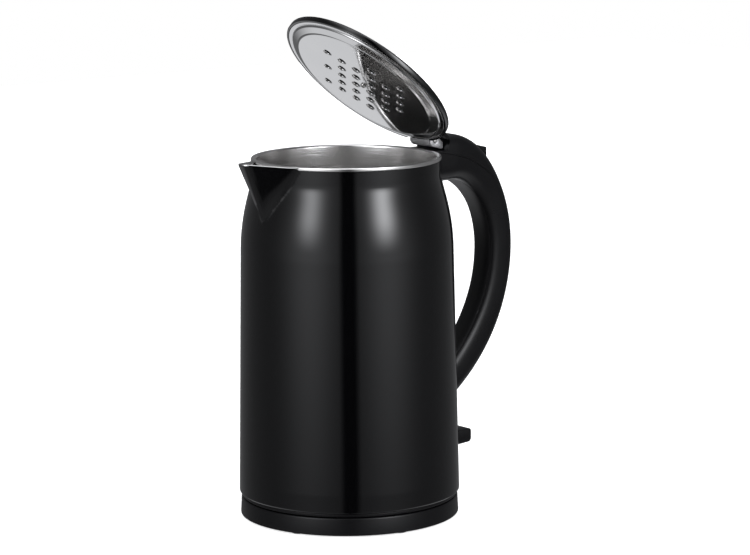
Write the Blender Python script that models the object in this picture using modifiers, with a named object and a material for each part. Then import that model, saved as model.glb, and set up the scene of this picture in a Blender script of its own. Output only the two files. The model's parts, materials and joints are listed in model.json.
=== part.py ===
"""Electric kettle: a double-walled kettle with a sprung lid, standing on its round power base.

Metres, +Z up. The origin is under the middle of the whole object, on the surface it stands on.
The handle points along +X and the spout along -X. Everything is built about the body's own
axis, which the empty body_axis moves into place, and the lid is built closed and then opened
about its hinge pin by the empty lid_hinge_axis.
"""

from math import cos, pi, radians, sin

import bmesh
import bpy
from mathutils import Matrix, Vector

# ---------------------------------------------------------------- driving dimensions

GAP = 0.0003             # between faces that touch
RUNNING = 0.0004         # radial room for a piece that turns or slides
SIDES = 32               # sides of a large round piece
SMALL_SIDES = 14         # sides of a small round piece

# power base
BASE_RADIUS = 0.0750     # at the foot of its wall
BASE_TOP_RADIUS = 0.0744
BASE_BOTTOM = 0.0012     # the feet stand this far proud
BASE_HEIGHT = 0.0132
BASE_WALL = 0.0020
BASE_DECK = 0.0018
BASE_PLATE = 0.0016
FOOT_COUNT = 6
FOOT_CIRCLE = 0.0675
FOOT_RADIUS = 0.0048
FOOT_PHASE = 22          # degrees
BASE_SCREW_CIRCLE = 0.0400
BASE_SCREW_RADIUS = 0.0030
GLAND_RADIUS = 0.0036
GLAND_BORE = 0.0024
GLAND_LENGTH = 0.0120

# connector between base and kettle
CONNECTOR_RADIUS = 0.0135
CONNECTOR_TOP = 0.0260
GROOVE_INNER = 0.0062
GROOVE_OUTER = 0.0104
GROOVE_FLOOR = 0.0160
PIN_RADIUS = 0.0018
PIN_PROUD = 0.0015
SOCKET_WALL = 0.0028
SOCKET_ROOF = 0.0040
CONTACT_ROOM = 0.0006    # between the two halves of the connector

# kettle body
BODY_BOTTOM = 0.0162
BODY_LOW_RADIUS = 0.0757
BODY_HIGH_RADIUS = 0.0726
SHOULDER_BOTTOM = 0.1820
COLLAR_BOTTOM = 0.2340
COLLAR_RADIUS = 0.0644
RIM_TOP = 0.2468
RIM_ROLL = 0.0022
RIM_RADIUS = 0.0647
SHELL_WALL = 0.0018
EDGE_ROLL = 0.0014       # the shell's rounded lower edge
COVER_INSET = 0.0014
COVER_PLATE = 0.0020
COVER_SCREW_CIRCLE = 0.0560
COVER_SCREW_RADIUS = 0.0028
POT_RADIUS = 0.0612
POT_WALL = 0.0008
POT_FLOOR = 0.0492
POT_CORNER = 0.0090
SUPPORT_HEIGHT = 0.0060

# spout
SPOUT_REACH = 0.0880     # body axis to the tip of the lip
SPOUT_HALF_ANGLE = 25    # degrees round the collar where the lip meets the rim
SPOUT_NOSE = 0.0075      # radius of the rounded tip
LIP_TOP = 0.2490
LIP_ROOT = 0.2466
LIP_THICK = 0.0012
SPOUT_ROOT_RADIUS = 0.0690
SPOUT_ROOT = 0.2050
LINER_WALL = 0.0007
STRAINER_COLUMNS = 5
STRAINER_ROWS = 3
STRAINER_HOLE = 0.0014
STRAINER_PITCH = 0.0052
STRAINER_DROP = 0.0070   # top row below the rim's roll

# under the pot
PLATE_RADIUS = 0.0520
PLATE_THICK = 0.0030
ELEMENT_RADIUS = 0.0410
ELEMENT_TUBE = 0.0032
ELEMENT_SWEEP = 290      # degrees
CONTROL_RADIUS = 0.0290
CONTROL_THICK = 0.0050
BIMETAL_RADIUS = 0.0090
BIMETAL_THICK = 0.0006
LEVER_TIP = 0.1022
LEVER_TOP = 0.0452
LEVER_UNDER = 0.0348
LEVER_HALF_WIDTH = 0.0090
LEVER_PIVOT = (0.0640, 0.0400)
LEVER_PIN = 0.0013

# handle, outlines in the XZ plane
HANDLE_REACH = 0.1408    # body axis to the back of the grip
GRIP_INNER = 0.1183
GRIP_HEIGHT = 0.1740     # where the grip stands upright
HANDLE_TOP = 0.2560
HANDLE_ROOT_UNDER = 0.2236
HANDLE_FOOT_OUTER = 0.0660
HANDLE_FOOT_INNER = 0.0820
ROOT_HALF_WIDTH = 0.0175
GRIP_HALF_WIDTH = 0.0120
FOOT_HALF_WIDTH = 0.0110
HANDLE_WALL = 0.0024
INSERT_SLOT = 0.0086     # half width of the slot that the grip insert fills
SEAM_START = 0.2455
SEAM_END = (0.1330, 0.2120)
HANDLE_SIDES = 20
HANDLE_STATIONS = 7      # sections on each stretch of the handle
STEAM_TUBE = 0.0022
STEAM_PORT = 0.2290      # height of the hole that the steam leaves by
HANDLE_SCREW_RADIUS = 0.0022
HANDLE_SCREW_SHANK = 0.0011
UPPER_SCREW_Z = 0.2360
LOWER_SCREW_Z = 0.0745
LOWER_SCREW_HEAD = 0.0708

# release button and latch
BUTTON_FRONT = (0.0995, 0.2500)
BUTTON_REAR = (0.1182, 0.2440)
BUTTON_HALF_WIDTH = 0.0075
BUTTON_DEPTH = 0.0105
BUTTON_PIVOT = (0.1025, 0.2452)
BUTTON_PIN = 0.0011
SLIDER_HALF_WIDTH = 0.0040
SLIDER_FRONT = 0.0822
SLIDER_REAR = 0.0962
SLIDER_Z = (0.2452, 0.2482)
SLIDER_FOOT = 0.0034
LATCH_SPRING_RADIUS = 0.0011
LATCH_WIRE = 0.0003

# hinge
PIN_X = 0.0684
PIN_Z = 0.2524
HINGE_PIN = 0.00125
BARREL_RADIUS = 0.0043
BARREL_HALF_WIDTH = 0.0094
BARREL_BORE = 0.0031
CHEEK_THICK = 0.0015
CHEEK_RADIUS = 0.0042
LID_ANGLE = 43.4         # degrees open at rest

# lid, built closed
LID_CENTRE = 0.0671      # hinge pin back to the lid's centre
LID_RADIUS = 0.0640
LID_BOTTOM = 0.2490
LID_BAND = 0.0044
LID_CROWN = 0.0060       # height of the dome over the band
LID_WALL = 0.0015
LUG_HALF_WIDTH = 0.0170
CARRIER_RADIUS = 0.0565
CARRIER_THICK = 0.0012
CARRIER_BOSS = 0.0040
GASKET_THICK = 0.0012
FLANGE_RADIUS = 0.0622
PAN_RADIUS = 0.0592
PAN_FLOOR_RADIUS = 0.0532
PAN_DEPTH = 0.0030
PAN_WALL = 0.0006
PAN_HOLE = 0.0022
HOLE_PITCH = (0.0084, 0.0080)
HOLE_CELLS = ((-4, (1,)), (-3, (0,)), (-2, (-3, -1, 1, 3)), (-1, (-2, 0, 2)),
              (0, (-5, -3, -1, 1, 3, 5)), (1, (-4, -2, 0, 2, 4)), (2, (-3, -1, 1, 3)), (3, (-2, 0, 2)))
ARM_HALF_WIDTH = 0.0090
ARM_THICK = 0.0016
ARM_LENGTH = 0.0260
LID_SCREW_RADIUS = 0.0020
SCREW_HEAD = 0.0012      # height of the small screws' heads

# ---------------------------------------------------------------- derived places

AXIS_X = (SPOUT_REACH - HANDLE_REACH) / 2
SEAT = BASE_HEIGHT + GAP                     # where the kettle stands on the base
COLLAR_TOP = RIM_TOP - RIM_ROLL - GAP
SOCKET_TOP = CONNECTOR_TOP + PIN_PROUD + CONTACT_ROOM + SOCKET_ROOF
CONTROL_BOTTOM = SOCKET_TOP + GAP
CONTROL_TOP = CONTROL_BOTTOM + CONTROL_THICK
POT_UNDER = POT_FLOOR - POT_WALL
PLATE_TOP = POT_UNDER - GAP
PLATE_UNDER = PLATE_TOP - PLATE_THICK
ELEMENT_Z = PLATE_UNDER - GAP - ELEMENT_TUBE
LID_TOP = LID_BOTTOM + LID_BAND
FLANGE_TOP = LID_BOTTOM + PAN_WALL
ARM_UNDER = FLANGE_TOP + GAP
ARM_TOP = ARM_UNDER + ARM_THICK
CARRIER_UNDER = ARM_TOP + GAP
HINGE = Vector((PIN_X, 0, PIN_Z))
LID_X = PIN_X - LID_CENTRE
GLAND_HEIGHT = (BASE_BOTTOM + BASE_HEIGHT) / 2
SOCKET_OUTER = CONNECTOR_RADIUS + CONTACT_ROOM + SOCKET_WALL
HANDLE_SCREW_WAYS = (("upper_screw", UPPER_SCREW_Z, RIM_RADIUS - 0.004, 0.0860),
                     ("lower_screw", LOWER_SCREW_Z, LOWER_SCREW_HEAD, 0.0800))


# ---------------------------------------------------------------- scene and materials

for old in list(bpy.data.objects):
    bpy.data.objects.remove(old, do_unlink=True)

kettle = bpy.data.collections.new("electric_kettle")
cutters = bpy.data.collections.new("cutters")
bpy.context.scene.collection.children.link(kettle)
bpy.context.scene.collection.children.link(cutters)


def material(name, colour, roughness, metallic=0.0):
    finish = bpy.data.materials.new(name)
    finish.use_nodes = True
    shader = finish.node_tree.nodes["Principled BSDF"]
    shader.inputs["Base Color"].default_value = (*colour, 1)
    shader.inputs["Roughness"].default_value = roughness
    shader.inputs["Metallic"].default_value = metallic
    return finish


GLOSS_BLACK = material("gloss_black", (0.010, 0.010, 0.011), 0.12)
SATIN_BLACK = material("satin_black", (0.014, 0.014, 0.015), 0.38)
SOFT_BLACK = material("soft_black", (0.010, 0.010, 0.012), 0.60)
RUBBER = material("rubber", (0.020, 0.020, 0.020), 0.85)
STEEL = material("brushed_steel", (0.60, 0.59, 0.58), 0.30, 1.0)
GREY_STEEL = material("grey_steel", (0.62, 0.62, 0.64), 0.42, 0.6)
ALUMINIUM = material("aluminium", (0.70, 0.70, 0.71), 0.40, 1.0)
BRASS = material("brass", (0.72, 0.55, 0.25), 0.30, 1.0)
WHITE_PLASTIC = material("white_plastic", (0.75, 0.74, 0.72), 0.50)


def axis_empty(name, location, parent=None, turn=0.0):
    empty = bpy.data.objects.new(name, None)
    kettle.objects.link(empty)
    empty.location = location
    empty.rotation_euler = (0, turn, 0)
    empty.parent = parent
    return empty


BODY_AXIS = axis_empty("body_axis", (AXIS_X, 0, 0))
LID_AXIS = axis_empty("lid_hinge_axis", HINGE, BODY_AXIS, radians(LID_ANGLE))
BUTTON_AXIS = axis_empty("button_axis", (BUTTON_PIVOT[0], 0, BUTTON_PIVOT[1]), BODY_AXIS)
LEVER_AXIS = axis_empty("lever_axis", (LEVER_PIVOT[0], 0, LEVER_PIVOT[1]), BODY_AXIS)

# ---------------------------------------------------------------- modelling helpers


def piece(name, mesh, finish=None, place=(0, 0, 0), parent=BODY_AXIS):
    """A visible sub-part, or a hidden cutter where it has no finish.

    The mesh holds body coordinates; place is where the piece's own origin goes.
    """
    obj = bpy.data.objects.new(name, mesh)
    obj.parent = parent
    mesh.transform(Matrix.Translation(-Vector(place)))
    if parent is BODY_AXIS:
        obj.location = place
    if finish:
        kettle.objects.link(obj)
        mesh.materials.append(finish)
    else:
        cutters.objects.link(obj)
        obj.hide_render = True
        obj.display_type = "WIRE"
    return obj


def mesh_of(build, name):
    """A mesh from a function that fills a bmesh."""
    work = bmesh.new()
    build(work)
    mesh = bpy.data.meshes.new(name)
    work.to_mesh(mesh)
    work.free()
    return mesh


def turned(name, profile, finish=None, sides=SIDES, place=(0, 0, 0), centre=(0, 0), parent=BODY_AXIS):
    """A profile of (radius, z) points swept about an upright line; it runs down the outer side.

    A profile that starts and ends on the axis is a solid. Any other is joined up into a ring.
    """
    on_axis = profile[0][0] == 0

    def build(work):
        points = [work.verts.new((radius, 0, z)) for radius, z in profile]
        for start, end in zip(points, points[1:] if on_axis else points[1:] + points[:1]):
            work.edges.new((start, end))

    mesh = mesh_of(build, name)
    screw_mesh = swept(mesh, sides)
    screw_mesh.transform(Matrix.Translation((centre[0], centre[1], 0)))
    obj = piece(name, screw_mesh, finish, place, parent)
    smooth(obj)
    return obj


def swept(profile_mesh, sides):
    """The profile turned a full circle about Z by a Screw modifier."""
    helper = bpy.data.objects.new("profile", profile_mesh)
    cutters.objects.link(helper)
    screw = helper.modifiers.new("Screw", "SCREW")
    screw.axis = "Z"
    screw.angle = 2 * pi
    screw.steps = sides
    screw.render_steps = sides
    screw.use_merge_vertices = True
    screw.merge_threshold = 0.00001
    return finished(helper)


def finished(helper):
    """The helper's evaluated shape as a plain mesh; the helper goes."""
    graph = bpy.context.evaluated_depsgraph_get()
    mesh = bpy.data.meshes.new_from_object(helper.evaluated_get(graph))
    bpy.data.objects.remove(helper, do_unlink=True)
    work = bmesh.new()
    work.from_mesh(mesh)
    bmesh.ops.remove_doubles(work, verts=work.verts, dist=0.00001)
    bmesh.ops.recalc_face_normals(work, faces=work.faces)
    work.to_mesh(mesh)
    work.free()
    return mesh


def smooth(obj, angle=35):
    obj.data.shade_smooth()
    obj.data.set_sharp_from_angle(angle=radians(angle))


def slab(name, outline, half_width, finish=None, middle=0.0, place=(0, 0, 0), parent=BODY_AXIS):
    """A flat outline of (x, z) points, half_width thick each way from y = middle."""
    flat = bpy.data.curves.new(name, "CURVE")
    flat.dimensions = "2D"
    flat.fill_mode = "BOTH"
    flat.extrude = half_width
    spline = flat.splines.new("POLY")
    spline.points.add(len(outline) - 1)
    for point, (x, z) in zip(spline.points, outline):
        point.co = (x, z, 0, 1)
    spline.use_cyclic_u = True
    helper = bpy.data.objects.new(name, flat)
    cutters.objects.link(helper)
    mesh = finished(helper)
    mesh.transform(Matrix.Translation((0, middle, 0)) @ Matrix.Rotation(radians(90), 4, "X"))
    return piece(name, mesh, finish, place, parent)


def block(name, low, high, finish=None, place=(0, 0, 0), parent=BODY_AXIS):
    """A box between two corners."""
    size = Vector(high) - Vector(low)
    middle = (Vector(high) + Vector(low)) / 2
    fit = Matrix.Translation(middle) @ Matrix.Diagonal((*size, 1))

    def build(work):
        bmesh.ops.create_cube(work, size=1, matrix=fit)

    return piece(name, mesh_of(build, name), finish, place, parent)


def rod(name, start, end, radius, finish=None, sides=SMALL_SIDES, place=(0, 0, 0), parent=BODY_AXIS):
    """A round bar between two points."""
    run = Vector(end) - Vector(start)
    turn = Vector((0, 0, 1)).rotation_difference(run).to_matrix().to_4x4()
    fit = Matrix.Translation((Vector(start) + Vector(end)) / 2) @ turn

    def build(work):
        bmesh.ops.create_cone(work, cap_ends=True, segments=sides, radius1=radius,
                              radius2=radius, depth=run.length, matrix=fit)

    obj = piece(name, mesh_of(build, name), finish, place, parent)
    smooth(obj)
    return obj


def punch(name, middles, way, radius, sides, place=(0, 0, 0), parent=BODY_AXIS):
    """One cutter of many equal rods: each runs from its middle by way to both sides."""
    turn = Vector((0, 0, 1)).rotation_difference(Vector(way)).to_matrix().to_4x4()

    def build(work):
        for middle in middles:
            bmesh.ops.create_cone(work, cap_ends=True, segments=sides, radius1=radius, radius2=radius,
                                  depth=2 * Vector(way).length, matrix=Matrix.Translation(middle) @ turn)

    return piece(name, mesh_of(build, name), None, place, parent)


def wire(name, points, radius, finish, resolution=2, place=(0, 0, 0), parent=BODY_AXIS):
    """A round wire or tube along the points."""
    path = bpy.data.curves.new(name, "CURVE")
    path.dimensions = "3D"
    path.bevel_depth = radius
    path.bevel_resolution = resolution
    path.use_fill_caps = True
    spline = path.splines.new("POLY")
    spline.points.add(len(points) - 1)
    for point, co in zip(spline.points, points):
        point.co = (*co, 1)
    helper = bpy.data.objects.new(name, path)
    cutters.objects.link(helper)
    obj = piece(name, finished(helper), finish, place, parent)
    smooth(obj, 60)
    return obj


def loft(name, rings, finish=None, parent=BODY_AXIS):
    """A closed skin over rings of equal point counts, capped at both ends."""

    def build(work):
        loops = [[work.verts.new(point) for point in ring] for ring in rings]
        for low, high in zip(loops, loops[1:]):
            for i in range(len(low)):
                j = (i + 1) % len(low)
                work.faces.new((low[i], low[j], high[j], high[i]))
        work.faces.new(loops[0])
        work.faces.new(loops[-1])
        bmesh.ops.recalc_face_normals(work, faces=work.faces)

    obj = piece(name, mesh_of(build, name), finish, parent=parent)
    smooth(obj)
    return obj


def change(obj, operation, *tools):
    for tool in tools:
        step = obj.modifiers.new(tool.name, "BOOLEAN")
        step.operation = operation
        step.object = tool
        step.solver = "EXACT"
    return obj


def cut(obj, *tools):
    return change(obj, "DIFFERENCE", *tools)


def join(obj, *tools):
    return change(obj, "UNION", *tools)


def keep(obj, *tools):
    return change(obj, "INTERSECT", *tools)


def bezier(start, near, far, end, count):
    """count + 1 points along a cubic Bezier curve, both ends included."""
    curve = []
    for i in range(count + 1):
        t = i / count
        weights = ((1 - t) ** 3, 3 * t * (1 - t) ** 2, 3 * t * t * (1 - t), t ** 3)
        curve.append(tuple(sum(w * p[k] for w, p in zip(weights, (start, near, far, end)))
                           for k in range(2)))
    return curve


def arc(centre, radius, start, end, count):
    """count + 1 points on an arc in a plane; the angles are in degrees."""
    return [(centre[0] + radius * cos(radians(start + (end - start) * i / count)),
             centre[1] + radius * sin(radians(start + (end - start) * i / count)))
            for i in range(count + 1)]


def on_circle(radius, degrees_round, z=0.0):
    return Vector((radius * cos(radians(degrees_round)), radius * sin(radians(degrees_round)), z))


# ---------------------------------------------------------------- shared outlines


def body_outline(inset=0.0):
    """The body's outer side, top to bottom, as (radius, z)."""
    shoulder = bezier((COLLAR_RADIUS, COLLAR_BOTTOM), (COLLAR_RADIUS + 0.0002, COLLAR_BOTTOM - 0.008),
                      (BODY_HIGH_RADIUS - 0.0002, SHOULDER_BOTTOM + 0.029),
                      (BODY_HIGH_RADIUS, SHOULDER_BOTTOM), 7)
    edge = BODY_BOTTOM + EDGE_ROLL
    outline = [(COLLAR_RADIUS, COLLAR_TOP), *shoulder, (BODY_LOW_RADIUS, edge)]
    return [(radius - inset, z) for radius, z in outline]


def body_radius(z, inset=0.0):
    """The body's outer radius at a height."""
    outline = body_outline(inset)
    for (high_radius, high), (low_radius, low) in zip(outline, outline[1:]):
        if low <= z <= high:
            return low_radius + (high_radius - low_radius) * (z - low) / (high - low)
    return outline[0][0] if z > outline[0][1] else outline[-1][0]


def spout_rings(inset, reach=1.0):
    """The beak as a cone from its root to the lip, shrunk by inset; reach 1 ends it at the lip."""
    half = radians(SPOUT_HALF_ANGLE)
    nose_x = -(SPOUT_REACH - SPOUT_NOSE)
    nose = SPOUT_NOSE - inset
    side = (-COLLAR_RADIUS * cos(half), COLLAR_RADIUS * sin(half) - inset)
    tip = arc((nose_x, 0), nose, 125, 235, 8)
    inside = -COLLAR_RADIUS + 0.014
    lip = [(inside, side[1]), side, *tip, (side[0], -side[1]), (inside, -side[1])]
    rise = (LIP_TOP - LIP_ROOT) / (SPOUT_REACH - COLLAR_RADIUS)
    top = [Vector((x, y, LIP_ROOT + rise * max(0.0, -x - COLLAR_RADIUS))) for x, y in lip]
    root = Vector((-SPOUT_ROOT_RADIUS + inset, 0, SPOUT_ROOT + inset))
    return [[root + (point - root) * share for point in top] for share in (0.04, reach)]


def ring_profile(inner, outer, low, high):
    return [(inner, high), (outer, high), (outer, low), (inner, low)]


# ---------------------------------------------------------------- power base


def base_top_shell():
    deck_under = BASE_HEIGHT - BASE_DECK
    inner_foot = BASE_RADIUS - BASE_WALL
    inner_top = BASE_TOP_RADIUS - BASE_WALL
    hub = CONNECTOR_RADIUS + GAP
    profile = [(hub, BASE_HEIGHT), (BASE_TOP_RADIUS - 0.0008, BASE_HEIGHT),
               (BASE_TOP_RADIUS, BASE_HEIGHT - 0.0008), (BASE_RADIUS, BASE_BOTTOM),
               (inner_foot, BASE_BOTTOM), (inner_top, deck_under), (hub, deck_under)]
    shell = turned("base_top_shell", profile, SATIN_BLACK)
    hole = rod("gland_hole", (BASE_RADIUS - 0.006, 0, GLAND_HEIGHT), (BASE_RADIUS + 0.004, 0, GLAND_HEIGHT),
               GLAND_RADIUS + GAP)
    return cut(shell, hole)


def cord_gland():
    """The grommet that the cord would leave by, at the back of the base."""
    outside = BASE_RADIUS + 0.0009
    flange = GLAND_RADIUS + 0.0008
    front = BASE_RADIUS + GAP
    profile = [(GLAND_BORE, outside), (flange, outside), (flange, front), (GLAND_RADIUS, front),
               (GLAND_RADIUS, outside - GLAND_LENGTH), (GLAND_BORE, outside - GLAND_LENGTH)]
    gland = turned("cord_gland", profile, RUBBER, SMALL_SIDES)
    gland.data.transform(Matrix.Translation((0, 0, GLAND_HEIGHT)) @ Matrix.Rotation(radians(90), 4, "Y"))
    return gland


def base_bottom_plate():
    radius = BASE_RADIUS - BASE_WALL - GAP
    under = BASE_BOTTOM
    top = under + BASE_PLATE
    profile = [(0, top), (radius, top), (radius, under), (0, under)]
    plate = turned("base_bottom_plate", profile, SATIN_BLACK)
    for i in range(3):
        x, y, _ = on_circle(BASE_SCREW_CIRCLE, 120 * i)
        cut(plate, rod(f"base_screw_hole_{i + 1}", (x, y, 0), (x, y, top + 0.002),
                       BASE_SCREW_RADIUS * 0.5 + GAP))
    return plate


def base_feet():
    top = BASE_BOTTOM - GAP
    for i in range(FOOT_COUNT):
        x, y, _ = on_circle(FOOT_CIRCLE, FOOT_PHASE + i * 360 / FOOT_COUNT)
        profile = [(0, top), (FOOT_RADIUS, top), (FOOT_RADIUS - 0.0003, 0), (0, 0)]
        turned(f"base_foot_{i + 1}", profile, RUBBER, SMALL_SIDES, place=(x, y, 0), centre=(x, y))


def base_screws():
    for i in range(3):
        x, y, _ = on_circle(BASE_SCREW_CIRCLE, 120 * i)
        head = BASE_BOTTOM - GAP
        profile = [(0, head + 0.008), (BASE_SCREW_RADIUS * 0.5, head + 0.008),
                   (BASE_SCREW_RADIUS * 0.5, head), (BASE_SCREW_RADIUS, head),
                   (BASE_SCREW_RADIUS, GAP), (0, GAP)]
        turned(f"base_screw_{i + 1}", profile, STEEL, SMALL_SIDES, place=(x, y, head), centre=(x, y))


def base_connector():
    floor = BASE_BOTTOM + BASE_PLATE + GAP
    bore = PIN_RADIUS + GAP
    profile = [(GROOVE_OUTER, CONNECTOR_TOP), (CONNECTOR_RADIUS - 0.001, CONNECTOR_TOP),
               (CONNECTOR_RADIUS, CONNECTOR_TOP - 0.001), (CONNECTOR_RADIUS, floor), (bore, floor),
               (bore, CONNECTOR_TOP), (GROOVE_INNER, CONNECTOR_TOP), (GROOVE_INNER, GROOVE_FLOOR),
               (GROOVE_OUTER, GROOVE_FLOOR)]
    turned("base_connector_housing", profile, SATIN_BLACK)
    pin_top = CONNECTOR_TOP + PIN_PROUD
    turned("connector_center_pin", [(0, pin_top), (PIN_RADIUS * 0.6, pin_top),
                                    (PIN_RADIUS, pin_top - 0.001), (PIN_RADIUS, floor), (0, floor)],
           BRASS, SMALL_SIDES)
    ring_low = GROOVE_FLOOR + GAP
    turned("connector_contact_ring",
           ring_profile(GROOVE_INNER + GAP, GROOVE_INNER + GAP + 0.0008, ring_low, CONNECTOR_TOP - 0.002),
           BRASS, 24)


# ---------------------------------------------------------------- kettle half of the connector


def kettle_socket():
    """The moulded socket that drops over the base's connector."""
    bore = CONNECTOR_RADIUS + CONTACT_ROOM
    roof = CONNECTOR_TOP + CONTACT_ROOM
    skirt_inner = GROOVE_INNER + GAP + 0.0008 + CONTACT_ROOM
    skirt_outer = GROOVE_OUTER - CONTACT_ROOM
    skirt_low = GROOVE_FLOOR + GAP + CONTACT_ROOM
    well = PIN_RADIUS + CONTACT_ROOM
    well_top = roof + PIN_PROUD
    profile = [(0, SOCKET_TOP), (SOCKET_OUTER, SOCKET_TOP), (SOCKET_OUTER, SEAT), (bore, SEAT),
               (bore, roof),
               (skirt_outer, roof), (skirt_outer, skirt_low), (skirt_inner, skirt_low),
               (skirt_inner, roof), (well, roof), (well, well_top), (0, well_top)]
    turned("kettle_socket", profile, SATIN_BLACK)


# ---------------------------------------------------------------- kettle body


def spout_solid(name, inset, reach=1.0):
    return loft(name, spout_rings(inset, reach))


def outer_shell():
    outside = body_outline()
    foot = BODY_LOW_RADIUS - EDGE_ROLL
    profile = [(0, COLLAR_TOP), *outside, (foot, BODY_BOTTOM), (0, BODY_BOTTOM)]
    shell = turned("outer_shell", profile, GLOSS_BLACK)
    hollow = [(0, COLLAR_TOP + 0.01), (COLLAR_RADIUS - SHELL_WALL, COLLAR_TOP + 0.01),
              *body_outline(SHELL_WALL), (foot - SHELL_WALL, BODY_BOTTOM - 0.001), (0, BODY_BOTTOM - 0.001)]
    join(shell, spout_solid("beak", 0.0, 1 - LIP_THICK / (LIP_TOP - SPOUT_ROOT)))
    cut(shell, turned("shell_hollow", hollow), spout_solid("beak_hollow", SHELL_WALL, 1.1),
        turned("rim_clear", [(0, RIM_TOP + 0.01), (RIM_RADIUS + GAP, RIM_TOP + 0.01),
                             (RIM_RADIUS + GAP, COLLAR_TOP), (0, COLLAR_TOP)]))
    slot = RUNNING + 0.0004
    lever_slot = block("lever_slot", (0.060, -LEVER_HALF_WIDTH - slot, LEVER_UNDER - 0.0024),
                       (0.090, LEVER_HALF_WIDTH + slot, LEVER_TOP + slot))
    steam_hole = rod("steam_hole", (COLLAR_RADIUS - 0.006, 0, STEAM_PORT),
                     (COLLAR_RADIUS + 0.006, 0, STEAM_PORT), STEAM_TUBE + GAP)
    screw_hole = rod("lower_screw_hole", (LOWER_SCREW_HEAD, 0, LOWER_SCREW_Z),
                     (LOWER_SCREW_HEAD + 0.008, 0, LOWER_SCREW_Z), HANDLE_SCREW_SHANK + GAP)
    return cut(shell, lever_slot, steam_hole, screw_hole)


def pot_profile():
    """The pot with its rolled rim: down the outside, then up the inside."""
    outer = POT_RADIUS + POT_WALL
    roll = RIM_TOP - RIM_ROLL
    outside = [(RIM_RADIUS, roll), (outer, roll), (outer, POT_UNDER + POT_CORNER),
               *arc((outer - POT_CORNER, POT_UNDER + POT_CORNER), POT_CORNER, 0, -90, 4)[1:],
               (0, POT_UNDER)]
    inner_corner = POT_CORNER - POT_WALL
    inside = [(0, POT_FLOOR),
              *arc((POT_RADIUS - inner_corner, POT_FLOOR + inner_corner), inner_corner, -90, 0, 4),
              (POT_RADIUS, RIM_TOP - 0.0008), (POT_RADIUS + 0.0008, RIM_TOP)]
    return [(RIM_RADIUS - 0.0008, RIM_TOP), (RIM_RADIUS, RIM_TOP - 0.0008), *outside], inside


def inner_pot():
    outside, inside = pot_profile()
    pot = turned("inner_pot", [(0, RIM_TOP), *outside], STEEL)
    cut(pot, turned("pot_hollow", [(0, RIM_TOP + 0.01), (POT_RADIUS + 0.0008, RIM_TOP + 0.01),
                                   *reversed(inside)]))
    top_row = RIM_TOP - RIM_ROLL - STRAINER_DROP
    holes = [Vector((-POT_RADIUS, (column - (STRAINER_COLUMNS - 1) / 2) * STRAINER_PITCH,
                     top_row - row * STRAINER_PITCH))
             for row in range(STRAINER_ROWS) for column in range(STRAINER_COLUMNS)]
    strainer = punch("strainer_punch", holes, (0.008, 0, 0), STRAINER_HOLE, 6)
    steam = rod("steam_port", (POT_RADIUS - 0.006, 0, STEAM_PORT), (POT_RADIUS + 0.006, 0, STEAM_PORT),
                STEAM_TUBE + GAP)
    return cut(pot, strainer, steam)


def spout_liner():
    """The steel lining of the beak, with the lip that covers the beak's edge."""
    obj = loft("spout_liner", spout_rings(SHELL_WALL + GAP), STEEL)
    lip = spout_rings(0.0)[1]
    lip_solid = loft("spout_lip", [[point - Vector((0, 0, LIP_THICK - GAP)) for point in lip], lip])
    join(obj, lip_solid)
    pot_side = RIM_RADIUS + GAP
    return cut(obj, spout_solid("liner_hollow", SHELL_WALL + GAP + LINER_WALL, 1.1),
               turned("liner_clear", [(0, RIM_TOP + 0.02), (pot_side, RIM_TOP + 0.02),
                                      (pot_side, SPOUT_ROOT - 0.02), (0, SPOUT_ROOT - 0.02)]))


def pot_support_ring():
    """The moulded ring that centres the pot in the shell."""
    low = POT_FLOOR + POT_CORNER + 0.002
    high = low + SUPPORT_HEIGHT
    inner = POT_RADIUS + POT_WALL + GAP
    top_outer = body_radius(high, SHELL_WALL + GAP)
    return turned("pot_support_ring", ring_profile(inner, top_outer, low, high), WHITE_PLASTIC)


def bottom_cover():
    outer = BODY_LOW_RADIUS - EDGE_ROLL - SHELL_WALL - GAP
    skirt = BODY_LOW_RADIUS - EDGE_ROLL - COVER_INSET + 0.0010
    hub = SOCKET_OUTER + RUNNING
    under = SEAT + GAP
    top = under + COVER_PLATE
    step = BODY_BOTTOM - GAP
    profile = [(hub, top), (outer - 0.002, top), (outer - 0.002, BODY_BOTTOM + 0.004),
               (outer, BODY_BOTTOM + 0.004), (outer, step), (skirt, step), (skirt, under), (hub, under)]
    cover = turned("bottom_cover", profile, SATIN_BLACK)
    for i in range(3):
        x, y, _ = on_circle(COVER_SCREW_CIRCLE, 60 + 120 * i)
        radius = COVER_SCREW_RADIUS * 0.5 + GAP
        cut(cover, rod(f"cover_screw_hole_{i + 1}", (x, y, under - 0.001), (x, y, top + 0.001), radius))
    return cover


def cover_screws():
    top = SEAT + GAP + COVER_PLATE + GAP
    for i in range(3):
        x, y, _ = on_circle(COVER_SCREW_CIRCLE, 60 + 120 * i)
        shank = COVER_SCREW_RADIUS * 0.5
        profile = [(0, top + SCREW_HEAD), (COVER_SCREW_RADIUS, top + SCREW_HEAD),
                   (COVER_SCREW_RADIUS, top), (shank, top), (shank, SEAT + 2 * GAP), (0, SEAT + 2 * GAP)]
        turned(f"bottom_cover_screw_{i + 1}", profile, STEEL, SMALL_SIDES, place=(x, y, top),
               centre=(x, y))


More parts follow.
